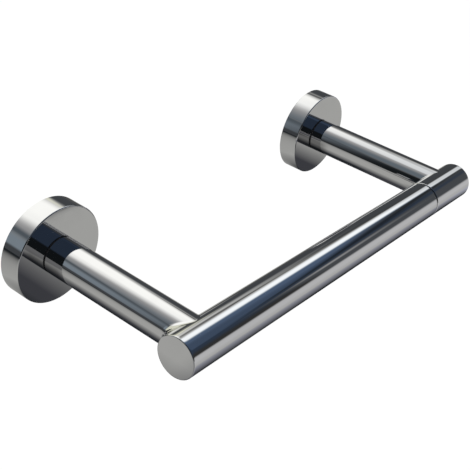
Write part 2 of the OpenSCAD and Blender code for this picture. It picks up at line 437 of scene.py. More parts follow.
def lathe(profile: Sequence[Point2], start: float = 0.0, sweep: float = 360.0) -> bpy.types.Mesh:
    """Turns a closed half section round the w axis.

    Args:
        profile: (radius, w) points. Those at radius 0 become poles.
        start: the angle it starts at, in degrees.
        sweep: the angle it turns through. Less than 360 gives it two flat ends.

    Returns:
        A closed mesh with its faces outward.
    """
    whole = sweep >= 360
    count = SEGMENTS if whole else max(LEAST_SEGMENTS, round(SEGMENTS * sweep / 360))
    columns = count if whole else count + 1
    built = bmesh.new()
    rings = []
    for step in range(columns):
        angle = math.radians(start + sweep * step / count)
        rings.append([built.verts.new((r * math.cos(angle), r * math.sin(angle), w)) for r, w in profile])
    for step in range(count):
        here, there = rings[step], rings[(step + 1) % columns]
        for i in range(len(profile)):
            j = (i + 1) % len(profile)
            built.faces.new((here[i], here[j], there[j], there[i]))
    if not whole:
        built.faces.new(rings[0])
        built.faces.new(list(reversed(rings[-1])))
    return closed_mesh(built)


def prism(outline: Sequence[Point2], low: float, high: float) -> bpy.types.Mesh:
    """Extrudes an outline along w and closes its ends.

    Args:
        outline: (u, v) points.
        low: where the prism begins along w.
        high: where it ends.

    Returns:
        A closed mesh with its faces outward.
    """
    built = bmesh.new()
    bottom = [built.verts.new((u, v, low)) for u, v in outline]
    top = [built.verts.new((u, v, high)) for u, v in outline]
    built.faces.new(list(reversed(bottom)))
    built.faces.new(top)
    for i in range(len(outline)):
        j = (i + 1) % len(outline)
        built.faces.new((bottom[i], bottom[j], top[j], top[i]))
    return closed_mesh(built)


def closed_mesh(built: bmesh.types.BMesh) -> bpy.types.Mesh:
    """Merges doubles, drops faces with no area and turns faces outward.

    Args:
        built: the bmesh, which is used up.

    Returns:
        A new mesh.
    """
    bmesh.ops.remove_doubles(built, verts=built.verts, dist=MERGE_DISTANCE)
    bmesh.ops.dissolve_degenerate(built, edges=built.edges, dist=MERGE_DISTANCE)
    bmesh.ops.recalc_face_normals(built, faces=built.faces)
    mesh = bpy.data.meshes.new("blank")
    built.to_mesh(mesh)
    built.free()
    return mesh


def circle(radius: float, centre: Point2 = (0, 0), sides: int = 64, turn: float = 0.0) -> list[Point2]:
    """Gives the outline of a circle, or of a polygon when it has few sides."""
    angles = [turn + FULL_TURN * i / sides for i in range(sides)]
    return [(centre[0] + radius * math.cos(a), centre[1] + radius * math.sin(a)) for a in angles]


def hexagon(across: float) -> list[Point2]:
    """Gives the outline of a hex socket of that width across its flats."""
    return circle(across / 2 / math.cos(math.pi / 6), sides=6, turn=math.pi / 6)


def polar(radius: float, degrees: float) -> Point2:
    """Gives the point at that radius and angle."""
    return radius * math.cos(math.radians(degrees)), radius * math.sin(math.radians(degrees))


def arc_slot(pitch_r: float, half: float, first: float, last: float) -> list[Point2]:
    """Gives the outline of a slot along an arc, with round ends.

    Args:
        pitch_r: the radius of the slot's middle line.
        half: half its width.
        first: the angle of the middle of one end, in degrees.
        last: the angle of the other.

    Returns:
        The outline.
    """
    outer = arc((0, 0), pitch_r + half, first, last, SLOT_STEPS)
    far_end = arc(polar(pitch_r, last), half, last, last + 180)[1:-1]
    inner = arc((0, 0), pitch_r - half, last, first, SLOT_STEPS)
    near_end = arc(polar(pitch_r, first), half, first + 180, first + 360)[1:-1]
    return outer + far_end + inner + near_end


def linked(name: str, data: bpy.types.ID) -> bpy.types.Object:
    """Makes an object and puts it in the scene.

    Args:
        name: the object's name.
        data: its mesh, camera or lamp.

    Returns:
        The object.
    """
    made = bpy.data.objects.new(name, data)
    bpy.context.collection.objects.link(made)
    return made


def discard(obj: bpy.types.Object) -> None:
    """Removes an object and its mesh.

    Args:
        obj: the object.
    """
    mesh = obj.data
    bpy.data.objects.remove(obj)
    bpy.data.meshes.remove(mesh)


class Operation(Enum):
    """What a Boolean does with its tool."""

    CUT = "DIFFERENCE"
    ADD = "UNION"


def combined(blank: bpy.types.Mesh, tools: Sequence[bpy.types.Mesh],
             operation: Operation) -> bpy.types.Mesh:
    """Cuts tools out of a closed mesh, or joins them to it.

    Args:
        blank: the mesh to work on, which is used up.
        tools: closed meshes, which are used up.
        operation: whether they are cut out or added.

    Returns:
        The new mesh.
    """
    target = linked("target", blank)
    helpers = [linked("tool", tool) for tool in tools]
    for helper in helpers:
        boolean = target.modifiers.new("boolean", "BOOLEAN")
        boolean.operation = operation.value
        boolean.solver = "EXACT"
        boolean.object = helper
    mesh = evaluated_mesh(target)
    for used in [target, *helpers]:
        discard(used)
    return mesh


def evaluated_mesh(obj: bpy.types.Object) -> bpy.types.Mesh:
    """Works out the mesh that an object's modifiers give.

    Args:
        obj: the object.

    Returns:
        A new mesh.
    """
    bpy.context.view_layer.update()
    graph = bpy.context.evaluated_depsgraph_get()
    return bpy.data.meshes.new_from_object(
        obj.evaluated_get(graph), preserve_all_data_layers=True, depsgraph=graph)


def smooth_mesh(mesh: bpy.types.Mesh) -> None:
    """Shades a mesh smooth between its sharp edges.

    Args:
        mesh: the mesh, which is changed in place.
    """
    built = bmesh.new()
    built.from_mesh(mesh)
    for face in built.faces:
        face.smooth = True
    for edge in built.edges:
        edge.smooth = len(edge.link_faces) == 2 and edge.calc_face_angle(0) < SHARP_ANGLE
    built.to_mesh(mesh)
    built.free()


@dataclass(frozen=True)
class Piece:
    """What a finished piece is called, stands for and moves with."""

    name: str
    body: Body
    slot: Slot
    replaces: tuple[str, ...] = ()

    def finish(self, mesh: bpy.types.Mesh, material: bpy.types.Material, place: Place) -> None:
        """Dresses a mesh, puts it in its place and parents it to its body's empty.

        Args:
            mesh: the mesh on the piece's own axes.
            material: its material.
            place: where those axes lie.
        """
        mesh.transform(place.matrix())
        mesh.name = self.name
        mesh.materials.clear()
        mesh.materials.append(material)
        smooth_mesh(mesh)
        rough = linked(self.name + "_rough", mesh)
        weighted = rough.modifiers.new("weighted", "WEIGHTED_NORMAL")
        weighted.mode = "FACE_AREA"
        weighted.weight = 100
        weighted.keep_sharp = True
        final = linked(self.name, evaluated_mesh(rough))
        final.data.name = self.name
        discard(rough)
        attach(final, self.body.value)
        if self.replaces:
            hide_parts(*self.replaces)
        log.info("%s: %d faces on %s", self.name, len(final.data.polygons), self.body.value)


class FormTree(Tree):
    """A Geometry Nodes tree with named inputs, turned into a plain mesh."""

    def __init__(self, name: str, sizes: dict[str, float], counts: Optional[dict[str, int]] = None) -> None:
        """Makes the tree with its inputs.

        Args:
            name: the tree's name.
            sizes: its lengths by name.
            counts: its whole numbers by name.
        """
        super().__init__(bpy.data.node_groups.new(name, "GeometryNodeTree"))
        self.values: dict[str, Number] = {**sizes, **(counts or {})}
        self.tree.interface.new_socket("Geometry", in_out="OUTPUT", socket_type="NodeSocketGeometry")
        self.keys: dict[str, str] = {}
        for key, value in self.values.items():
            kind = "NodeSocketInt" if isinstance(value, int) else "NodeSocketFloat"
            entry = self.tree.interface.new_socket(key, in_out="INPUT", socket_type=kind)
            self.keys[key] = entry.identifier
        self.group = self.tree.nodes.new("NodeGroupInput")

    def size(self, name: str) -> Socket:
        """Returns the tree's input of that name."""
        return Socket(self, self.group.outputs[name])

    def mesh(self, geometry: Socket, material: bpy.types.Material) -> bpy.types.Mesh:
        """Ends the tree, evaluates it and returns its mesh.

        Args:
            geometry: what the tree makes.
            material: the material that it sets.

        Returns:
            A plain mesh.
        """
        real = self.add("GeometryNodeRealizeInstances", {}, {0: geometry})
        dressed = self.add("GeometryNodeSetMaterial", {}, {"Geometry": real, "Material": material})
        self.node("NodeGroupOutput", {}, {0: dressed})
        holder = linked("form", bpy.data.meshes.new("form"))
        modifier = holder.modifiers.new("form", "NODES")
        modifier.node_group = self.tree
        for name, value in self.values.items():
            modifier[self.keys[name]] = value
        mesh = evaluated_mesh(holder)
        discard(holder)
        return mesh


@dataclass(frozen=True)
class CopedTube:
    """A post tube whose front end is coped to sit round the bar.

    A polished fillet joins them. It may be wider round one angle, where more of it shows.
    """

    outer: float
    bore: float
    back: float
    reach: float
    bar: float
    fillet: float
    wide_fillet: float = 0.0
    wide_angle: float = 130.0
    wide_power: float = 1.5
    bevel: float = EASED_EDGE
    segments: int = SEGMENTS
    fillet_rows: int = 14

    def mesh(self, material: bpy.types.Material) -> bpy.types.Mesh:
        """Builds the tube with Geometry Nodes, along w from back to the bar at reach.

        Args:
            material: the tube's material.

        Returns:
            The tube's mesh on its own axes.
        """
        tree = FormTree(
            "coped_tube",
            {"Outer": self.outer, "Bore": self.bore, "Back": self.back, "Reach": self.reach,
             "Bar": self.bar, "Bevel": self.bevel, "Fillet": self.fillet,
             "Wide fillet": max(self.fillet, self.wide_fillet),
             "Wide angle": math.radians(self.wide_angle), "Wide power": self.wide_power},
            {"Segments": self.segments, "Fillet rows": self.fillet_rows},
        )
        outer, bore, back = tree.size("Outer"), tree.size("Bore"), tree.size("Back")
        bevel = tree.size("Bevel")
        u, v, _ = tree.add("GeometryNodeInputPosition").xyz()
        angle = (u + 0.5) * FULL_TURN
        along = v + 0.5
        cosine, sine = angle.function("COSINE"), angle.function("SINE")
        facing = (angle - tree.size("Wide angle")).function("COSINE").function("MAXIMUM", 0.0)
        widening = tree.size("Wide fillet") - tree.size("Fillet")
        fillet = tree.size("Fillet") + widening * facing.function("POWER", tree.size("Wide power"))

        def ring(radius: Socket, w: Socket) -> Socket:
            """Gives the point of a ring at this angle."""
            return tree.vector(cosine * radius, sine * radius, w)

        def height_of_bar(radius: Socket, bar_r: Socket) -> Socket:
            """Gives w where a line along the post at that radius meets a cylinder round the bar."""
            across = sine * radius
            return tree.size("Reach") - (bar_r * bar_r - across * across).function("SQRT")

        ball_r, ball_bar_r = outer + fillet, tree.size("Bar") + fillet
        ball_w = height_of_bar(ball_r, ball_bar_r)
        ball = ring(ball_r, ball_w)
        from_post = tree.vector(cosine, sine, 0.0)
        from_bar = tree.vector(0.0, sine * ball_r, ball_w - tree.size("Reach")).unit()
        bore_front = ring(bore, height_of_bar(bore, tree.size("Bar")))
        bore_back = ring(bore, back)
        back_edge = ring(outer - bevel, back)
        wall_back = ring(outer, back + bevel)
        wall_front = ring(outer, ball_w)
        on_bar = ball - from_bar * fillet
        swept = ball - (from_post + (from_bar - from_post) * along).unit() * fillet

        def patch(points: Socket, rows: Operand) -> Socket:
            """Lays a grid on points given over the angle and over v."""
            grid = tree.add("GeometryNodeMeshGrid", {}, {
                "Size X": 1.0, "Size Y": 1.0, "Vertices X": tree.size("Segments") + 1, "Vertices Y": rows})
            return tree.add("GeometryNodeSetPosition", {}, {"Geometry": grid, "Position": points})

        def ruled(first: Socket, second: Socket) -> Socket:
            """Lays one row of faces between two rings."""
            return patch(first + (second - first) * along, 2)

        join = tree.node("GeometryNodeJoinGeometry")
        rings = [bore_front, bore_back, back_edge, wall_back, wall_front]
        patches = [ruled(a, b) for a, b in zip(rings, rings[1:])]
        patches += [patch(swept, tree.size("Fillet rows")), ruled(on_bar, bore_front)]
        for part in patches:
            tree.tree.links.new(part.output, join.inputs[0])
        welded = tree.add("GeometryNodeMergeByDistance", {}, {
            "Geometry": Socket(tree, join.outputs[0]), "Distance": WELD_DISTANCE})
        mesh = tree.mesh(welded, material)
        built = bmesh.new()
        built.from_mesh(mesh)
        bpy.data.meshes.remove(mesh)
        return closed_mesh(built)


@dataclass(frozen=True)
class Thread:
    """The ridge of a screw thread, as one helix."""

    radius: float
    pitch: float
    start: float
    length: float
    steps_per_turn: int = 28
    sides: int = 4
    depth_share: float = 0.45

    @property
    def depth(self) -> float:
        """The height of the ridge over the core."""
        return self.depth_share * self.pitch

    def mesh(self, material: bpy.types.Material) -> bpy.types.Mesh:
        """Builds the helix with Geometry Nodes, along w.

        Args:
            material: the screw's material.

        Returns:
            The ridge's mesh on the screw's own axes.
        """
        tree = FormTree(
            "screw_thread",
            {"Radius": self.radius - self.depth / 2, "Depth": self.depth, "Start": self.start,
             "Length": self.length, "Turns": self.length / self.pitch},
            {"Steps": self.steps_per_turn, "Sides": self.sides},
        )
        radius = tree.size("Radius")
        helix = tree.add("GeometryNodeCurveSpiral", {}, {
            "Resolution": tree.size("Steps"), "Rotations": tree.size("Turns"), "Start Radius": radius,
            "End Radius": radius, "Height": tree.size("Length")})
        section = tree.add("GeometryNodeCurvePrimitiveCircle", {}, {
            "Resolution": tree.size("Sides"), "Radius": tree.size("Depth") / 2})
        swept = tree.add("GeometryNodeCurveToMesh", {}, {
            "Curve": helix, "Profile Curve": section, "Fill Caps": True})
        moved = tree.add("GeometryNodeTransform", {}, {
            "Geometry": swept, "Translation": tree.vector(0.0, 0.0, tree.size("Start"))})
        return tree.mesh(moved, material)


@dataclass(frozen=True)
class Knurl:
    """Straight ridges round the head of a screw."""

    radius: float
    low: float
    high: float
    count: int = 40
    sides: int = 4
    ridge: float = 0.24 * MM

    def mesh(self, material: bpy.types.Material) -> bpy.types.Mesh:
        """Builds the ridges with Geometry Nodes, round w.

        Args:
            material: the screw's material.

        Returns:
            The ridges' mesh on the screw's own axes.
        """
        tree = FormTree(
            "knurl",
            {"Radius": self.radius - self.ridge, "Ridge": self.ridge, "Length": self.high - self.low,
             "Middle": (self.high + self.low) / 2},
            {"Count": self.count, "Sides": self.sides},
        )
        ring = tree.add("GeometryNodeMeshCircle", {}, {
            "Vertices": tree.size("Count"), "Radius": tree.size("Radius")})
        ridge = tree.add("GeometryNodeMeshCylinder", {}, {
            "Vertices": tree.size("Sides"), "Side Segments": 1, "Fill Segments": 1,
            "Radius": tree.size("Ridge"), "Depth": tree.size("Length")})
        outward = tree.add("FunctionNodeAlignRotationToVector", {"axis": "X"}, {
            "Vector": tree.add("GeometryNodeInputPosition")})
        laid = tree.add("GeometryNodeInstanceOnPoints", {}, {
            "Points": ring, "Instance": ridge, "Rotation": outward})
        moved = tree.add("GeometryNodeTransform", {}, {
            "Geometry": laid, "Translation": tree.vector(0.0, 0.0, tree.size("Middle"))})
        return tree.mesh(moved, material)


@dataclass(frozen=True)
class Mottle:
    """Noise with so many features to the metre, made harder between two of its values."""

    per_metre: float
    detail: float
    hard_between: Optional[tuple[float, float]] = None

    def over(self, tree: Tree, at: Socket) -> Socket:
        """Adds the noise to a tree.

        Args:
            tree: the material's nodes.
            at: the point that it is read at.

        Returns:
            The noise, from 0 to 1.
        """
        inputs = {"Vector": at, "Scale": self.per_metre, "Detail": self.detail}
        noise = tree.add("ShaderNodeTexNoise", {}, inputs)
        return noise.rise(*self.hard_between) if self.hard_between else noise


@dataclass(frozen=True)
class Finish:
    """A surface finish, built as a material once for each axis that it turns about."""

    slot: Slot
    colour: Colour
    roughness: float
    metallic: float = 1.0

    def material(self, place: Place) -> bpy.types.Material:
        """Builds the material.

        Args:
            place: where the piece's own axes lie.

        Returns:
            The material.
        """
        made, tree = new_material(self.slot.value)
        shader = tree.node("ShaderNodeBsdfPrincipled", {}, {
            "Base Color": opaque(self.colour), "Roughness": self.roughness, "Metallic": self.metallic})
        tree.node("ShaderNodeOutputMaterial", {}, {0: Socket(tree, shader.outputs[0])})
        back = place.matrix().inverted()
        own = tree.add("ShaderNodeMapping", {"vector_type": "POINT"}, {
            "Vector": tree.point(), "Location": back.to_translation(), "Rotation": back.to_euler()})
        for name, value in self.surface(tree, own).items():
            tree.tree.links.new(value.output, shader.inputs[name])
        return made

    def surface(self, tree: Tree, own: Socket) -> dict[str, Socket]:
        """Works out what varies over the surface.

        Args:
            tree: the material's nodes.
            own: the point on the piece's own axes, in metres.

        Returns:
            Sockets by the name of the shader's input that they feed.
        """
        raise NotImplementedError

    @staticmethod
    def bump(tree: Tree, height: Socket, depth: float) -> Socket:
        """Adds a bump of that depth in metres for a height from 0 to 1."""
        inputs = {"Strength": 1.0, "Distance": depth, "Height": height}
        return tree.add("ShaderNodeBump", {}, inputs, "Normal")

    def tones(self, tree: Tree, factor: Socket, start: float, end: float) -> Socket:
        """Varies the finish's colour between two shares of it."""
        first, second = (opaque([c * share for c in self.colour]) for share in (start, end))
        return tree.blend(factor, first, second)


@dataclass(frozen=True)
class Chrome(Finish):
    """Mirror-polished chrome plate, with faint polishing waves and wiping marks.

    Under the posts, next to the flanges, its colour is darker: painted shade, to match a darker stretch in
    the photograph.
    """

    waves: Mottle = Mottle(42.0, 1.5)
    wave_depth: float = 0.9e-6
    wipes: Mottle = Mottle(160.0, 4.0, (0.55, 0.75))
    wipe_stretch: float = 7.0
    wipe_roughness: float = 0.015
    haze: Mottle = Mottle(90.0, 4.0, (0.45, 0.8))
    haze_share: float = 0.97
    haze_roughness: float = 0.05
    # Painted shade: where a darker chrome colour lies under the posts next to the flanges, and how dark it
    # is.
    painted_shade_from: float = 10.2 * MM
    painted_shade_edge: float = 0.3 * MM
    painted_shade_to: float = 17.0 * MM
    painted_shade_fade: float = 6.0 * MM
    painted_shade_below: float = -0.5 * MM
    painted_shade_top: float = 2.2 * MM
    painted_shade_share: float = 0.53

    def surface(self, tree: Tree, own: Socket) -> dict[str, Socket]:
        """Gives long polishing waves, a trace of wiping marks, slight haze and the painted shade under the
        posts next to the flanges.

        Args:
            tree: the material's nodes.
            own: the point on the piece's own axes.

        Returns:
            Sockets by the shader's inputs.
        """
        u, v, w = own.xyz()
        wipes = self.wipes.over(tree, tree.vector(u, v, w * self.wipe_stretch))
        haze = self.haze.over(tree, own)
        _, y, z = tree.point().xyz()
        reach = -y
        # Painted shade: the colour darkens under the posts, between these reaches from the wall.
        beside = reach.rise(self.painted_shade_from, self.painted_shade_from + self.painted_shade_edge)
        beyond = reach.rise(self.painted_shade_to, self.painted_shade_to + self.painted_shade_fade)
        painted_shade_mask = beside * (1 - beyond) * (1 - z.rise(self.painted_shade_below, self.painted_shade_top))
        polished = self.tones(tree, haze, 1.0, self.haze_share)
        return {
            "Base Color": tree.blend(painted_shade_mask, polished, opaque([c * self.painted_shade_share for c in self.colour])),
            "Roughness": self.roughness + haze * self.haze_roughness + wipes * self.wipe_roughness,
            "Normal": self.bump(tree, self.waves.over(tree, own), self.wave_depth),
        }


@dataclass(frozen=True)
class Turned(Finish):
    """Metal turned on a lathe, with fine tool lines round its axis and a little tarnish."""

    line_pitch: float = 0.16 * MM
    line_slope: float = 1.3
    line_share: float = 0.35
    line_depth: float = 3.0e-6
    breaks: Mottle = Mottle(900.0, 2.0)
    break_roughness: float = 0.08
    spots: Mottle = Mottle(260.0, 5.0, (0.42, 0.7))
    spot_roughness: float = 0.12
    bright: float = 1.06
    tarnish: float = 0.82

    def surface(self, tree: Tree, own: Socket) -> dict[str, Socket]:
        """Gives tool lines by radius and by height, and soft spots of tarnish.

        Args:
            tree: the material's nodes.
            own: the point on the piece's own axes.

        Returns:
            Sockets by the shader's inputs.
        """
        u, v, w = own.xyz()
        radius = (u * u + v * v).function("SQRT")
        lines = ((radius + w * self.line_slope) * (FULL_TURN / self.line_pitch)).function("SINE")
        breaks, spots = self.breaks.over(tree, own), self.spots.over(tree, own)
        return {
            "Base Color": self.tones(tree, spots, self.bright, self.tarnish),
            "Roughness": self.roughness + spots * self.spot_roughness + breaks * self.break_roughness,
            "Normal": self.bump(tree, lines * self.line_share + breaks, self.line_depth),
        }


@dataclass(frozen=True)
class ZincPlate(Finish):
    """Pressed steel with a bright zinc plate: fine grain, a blue cast and dull patches."""

    grain: Mottle = Mottle(2600.0, 2.0)
    grain_depth: float = 5.0e-6
    grain_roughness: float = 0.08
    clouds: Mottle = Mottle(150.0, 5.0, (0.35, 0.7))
    cloud_share: float = 0.4
    cloud_roughness: float = 0.14
    cloud_tint: Colour = (0.78, 0.88, 1.02)

    def surface(self, tree: Tree, own: Socket) -> dict[str, Socket]:
        """Gives a fine grain and a cloudy passivated layer.

        Args:
            tree: the material's nodes.
            own: the point on the piece's own axes.

        Returns:
            Sockets by the shader's inputs.
        """
        grain, clouds = self.grain.over(tree, own), self.clouds.over(tree, own)
        blue = opaque([c * share for c, share in zip(self.colour, self.cloud_tint)])
        return {
            "Base Color": tree.blend(clouds, opaque(self.colour), blue),
            "Roughness": self.roughness + clouds * self.cloud_roughness + grain * self.grain_roughness,
            "Normal": self.bump(tree, grain + clouds * self.cloud_share, self.grain_depth),
        }


@dataclass(frozen=True)
class Moulded(Finish):
    """Moulded plastic with a fine spark texture."""

    texture: Mottle = Mottle(3200.0, 2.0)
    texture_depth: float = 8.0e-6
    texture_roughness: float = 0.12
    flow: Mottle = Mottle(120.0, 3.0)
    flow_shares: tuple[float, float] = (0.93, 1.05)

    def surface(self, tree: Tree, own: Socket) -> dict[str, Socket]:
        """Gives the texture and slight changes of shade.

        Args:
            tree: the material's nodes.
            own: the point on the piece's own axes.

        Returns:
            Sockets by the shader's inputs.
        """
        texture = self.texture.over(tree, own)
        return {
            "Base Color": self.tones(tree, self.flow.over(tree, own), *self.flow_shares),
            "Roughness": self.roughness + texture * self.texture_roughness,
            "Normal": self.bump(tree, texture, self.texture_depth),
        }


CHROME_REFLECTANCE = 0.62
FINISHES: dict[Slot, Finish] = {
    Slot.CHROME: Chrome(
        Slot.CHROME, colour=(CHROME_REFLECTANCE, CHROME_REFLECTANCE, 0.63), roughness=0.025),
    Slot.ZINC: ZincPlate(Slot.ZINC, colour=(0.58, 0.60, 0.63), roughness=0.3),
    Slot.STAINLESS: Turned(Slot.STAINLESS, colour=(0.56, 0.56, 0.57), roughness=0.2, tarnish=0.9),
    Slot.SPRING: Turned(Slot.SPRING, colour=(0.25, 0.25, 0.27), roughness=0.32, tarnish=0.7),
    Slot.BRASS: Turned(Slot.BRASS, colour=(0.72, 0.55, 0.26), roughness=0.24),
    Slot.ACETAL: Moulded(Slot.ACETAL, colour=(0.86, 0.86, 0.83), roughness=0.42, metallic=0.0),
    Slot.NYLON: Moulded(Slot.NYLON, colour=(0.025, 0.025, 0.028), roughness=0.5, metallic=0.0),
}


@dataclass
class Workshop:
    """Makes finished pieces on one axis, with one material for each finish used there."""

    place: Place
    body: Body
    materials: dict[tuple[Slot, tuple[float, ...]], bpy.types.Material] = field(default_factory=dict)

    def material(self, slot: Slot, place: Optional[Place] = None) -> bpy.types.Material:
        """Finds the material of a slot for an axis, and builds it on first use.

        Args:
            slot: the material slot.
            place: the axis, if not this workshop's.

        Returns:
            The material.
        """
        where = place or self.place
        key = (slot, tuple(where.origin))
        if key not in self.materials:
            self.materials[key] = FINISHES[slot].material(where)
        return self.materials[key]

    def make(self, node: str, slot: Slot, mesh: bpy.types.Mesh, place: Optional[Place] = None) -> None:
        """Finishes a mesh as the piece that stands for a node.

        Args:
            node: the node that it replaces.
            slot: its material slot.
            mesh: the mesh on the piece's own axes.
            place: where they lie, if not on this workshop's axis.
        """
        where = place or self.place
        Piece(f"{node}_finished", self.body, slot, (node,)).finish(mesh, self.material(slot, where), where)

    def trim(self, name: str, slot: Slot, form: Callable[[bpy.types.Material], bpy.types.Mesh],
             place: Optional[Place] = None) -> None:
        """Finishes a small form that rides beside a replaced node.

        Args:
            name: the piece's name.
            slot: its material slot.
            form: what builds its mesh with a material.
            place: where its own axes lie, if not on this workshop's axis.
        """
        where = place or self.place
        material = self.material(slot, where)
        Piece(name, self.body, slot).finish(form(material), material, where)


@dataclass
class WallMount:
    """A flange with its wall plate and grub screw."""

    side: str
    layout: Layout
    centre_hole_r: float
    face: float = 2.8 * MM
    skirt: float = 2.2 * MM
    edge_round: float = 0.5 * MM
    rim_edge: float = 0.15 * MM
    pad_depth: float = 2.2 * MM
    pad_w: float = 4 * MM
    boss_w: float = 8 * MM
    pad_angles: tuple[float, float] = (30.0, 150.0)
    boss_angle: float = -90.0
    plate_t: float = 4.5 * MM
    plate_undercut: float = 1.5 * MM
    plate_lip: float = 0.6 * MM
    plate_play: float = 0.1 * MM
    plate_hole_r: float = 6.5 * MM
    plate_edge: float = 0.25 * MM
    wall_hole_r: float = 2.1 * MM
    countersink_r: float = 3.8 * MM
    grub_r: float = 2 * MM
    grub_height: float = 3 * MM
    grub_recess: float = 0.35 * MM
    grub_pitch: float = 0.7 * MM
    grub_plain_share: float = 1.4

    @property
    def x(self) -> float:
        """The row's x of this mount's axis."""
        return self.layout.left_x if self.side == "left" else self.layout.right_x

    @property
    def inner(self) -> float:
        """How far the cavity reaches out from the wall."""
        return self.layout.flange_depth - self.face

    @property
    def pad_r(self) -> float:
        """The radius of the pads' faces."""
        return self.layout.flange_r - self.skirt - self.pad_depth

    @property
    def plate_r(self) -> float:
        """The radius of the wall plate's lip."""
        return self.pad_r - self.plate_play

    def flange_blank(self) -> bpy.types.Mesh:
        """Turns the cup with its rounded front edge and eased rim.

        Returns:
            Its mesh on the post's axis.
        """
        outer, depth, edge = self.layout.flange_r, self.layout.flange_depth, self.edge_round
        cavity, rim = outer - self.skirt, self.rim_edge
        front = arc((outer - edge, depth - edge), edge, 90, 0)
        return lathe([
            (self.centre_hole_r, depth), *front, (outer, rim), (outer - rim, 0), (cavity + rim, 0),
            (cavity, rim), (cavity, self.inner), (self.centre_hole_r, self.inner),
        ])

    def pad(self, angle: float, width: float) -> bpy.types.Mesh:
        """Builds a pad that stands in from the skirt.

        Args:
            angle: where round the axis it stands, in degrees.
            width: how wide it is.

        Returns:
            Its mesh on the post's axis.
        """
        low, high = self.pad_r, self.pad_r + self.pad_depth + self.skirt / 2
        corners = [(low, -width / 2), (high, -width / 2), (high, width / 2), (low, width / 2)]
        pad = prism(corners, FIT_GAP, self.inner + self.face / 2)
        pad.transform(Matrix.Rotation(math.radians(angle), 4, "Z"))
        return pad

    def build(self, shop: Workshop, face_cut: bpy.types.Mesh) -> None:
        """Builds the flange, the wall plate and the grub screw.

        Args:
            shop: the workshop on this mount's axis.
            face_cut: what is cut out of the flange's front wall.
        """
        pads = [self.pad(angle, self.pad_w) for angle in self.pad_angles]
        pads.append(self.pad(self.boss_angle, self.boss_w))
        skirt_hole = prism(circle(self.grub_r + FIT_GAP), 0, self.layout.flange_r + OVERRUN)
        screw_place = Place.in_skirt(self.x, self.grub_height)
        skirt_hole.transform(shop.place.matrix().inverted() @ screw_place.matrix())
        cup = combined(self.flange_blank(), pads, Operation.ADD)
        shop.make(f"{self.side}_flange", Slot.CHROME, combined(cup, [skirt_hole, face_cut], Operation.CUT))
        shop.make(f"{self.side}_wall_plate", Slot.ZINC, self.wall_plate())
        self.grub_screw(shop, screw_place)

    def wall_plate(self) -> bpy.types.Mesh:
        """Builds the plate with its undercut rim and two countersunk holes.

        Returns:
            Its mesh on the post's axis.
        """
        top, edge = self.plate_t - self.plate_lip, self.plate_edge
        blank = lathe([
            (self.plate_hole_r + edge, 0), (self.plate_r - self.plate_undercut, 0), (self.plate_r, top),
            (self.plate_r, self.plate_t - edge), (self.plate_r - edge, self.plate_t),
            (self.plate_hole_r + edge, self.plate_t), (self.plate_hole_r, self.plate_t - edge),
            (self.plate_hole_r, edge),
        ])
        pitch = (self.plate_hole_r + self.plate_r) / 2
        sink = self.countersink_r - self.wall_hole_r
        cuts = []
        for side in (-1, 1):
            cut = lathe([
                (0, -OVERRUN), (self.wall_hole_r, -OVERRUN), (self.wall_hole_r, self.plate_t - sink),
                (self.countersink_r, self.plate_t), (self.countersink_r, self.plate_t + OVERRUN),
                (0, self.plate_t + OVERRUN),
            ])
            cut.transform(Matrix.Translation((0, side * pitch, 0)))
            cuts.append(cut)
        return combined(blank, cuts, Operation.CUT)

    def grub_screw(self, shop: Workshop, place: Place) -> None:
        """Builds the grub screw with its cone point, hex socket and thread.

        Args:
            shop: the workshop on this mount's axis.
            place: where the screw's own axis lies.
        """
        bevel_top = self.plate_t - self.plate_lip
        point = self.plate_r - self.plate_undercut * (1 - self.grub_height / bevel_top) + FIT_GAP
        end = self.layout.flange_r - self.grub_recess
        threaded = end - point - self.grub_plain_share * self.grub_r
        thread = Thread(self.grub_r, self.grub_pitch, point + self.grub_r, threaded)
        core = self.grub_r - thread.depth
        blank = lathe([
            (0, point), (core, point + core), (core, end - 2 * FIT_GAP), (core - FIT_GAP, end), (0, end)])
        socket = prism(hexagon(self.grub_r), (point + end) / 2, end + OVERRUN)
        node = f"{self.side}_grub_screw"
        shop.make(node, Slot.STAINLESS, combined(blank, [socket], Operation.CUT), place)
        shop.trim(f"{node}_thread", Slot.STAINLESS, thread.mesh, place)


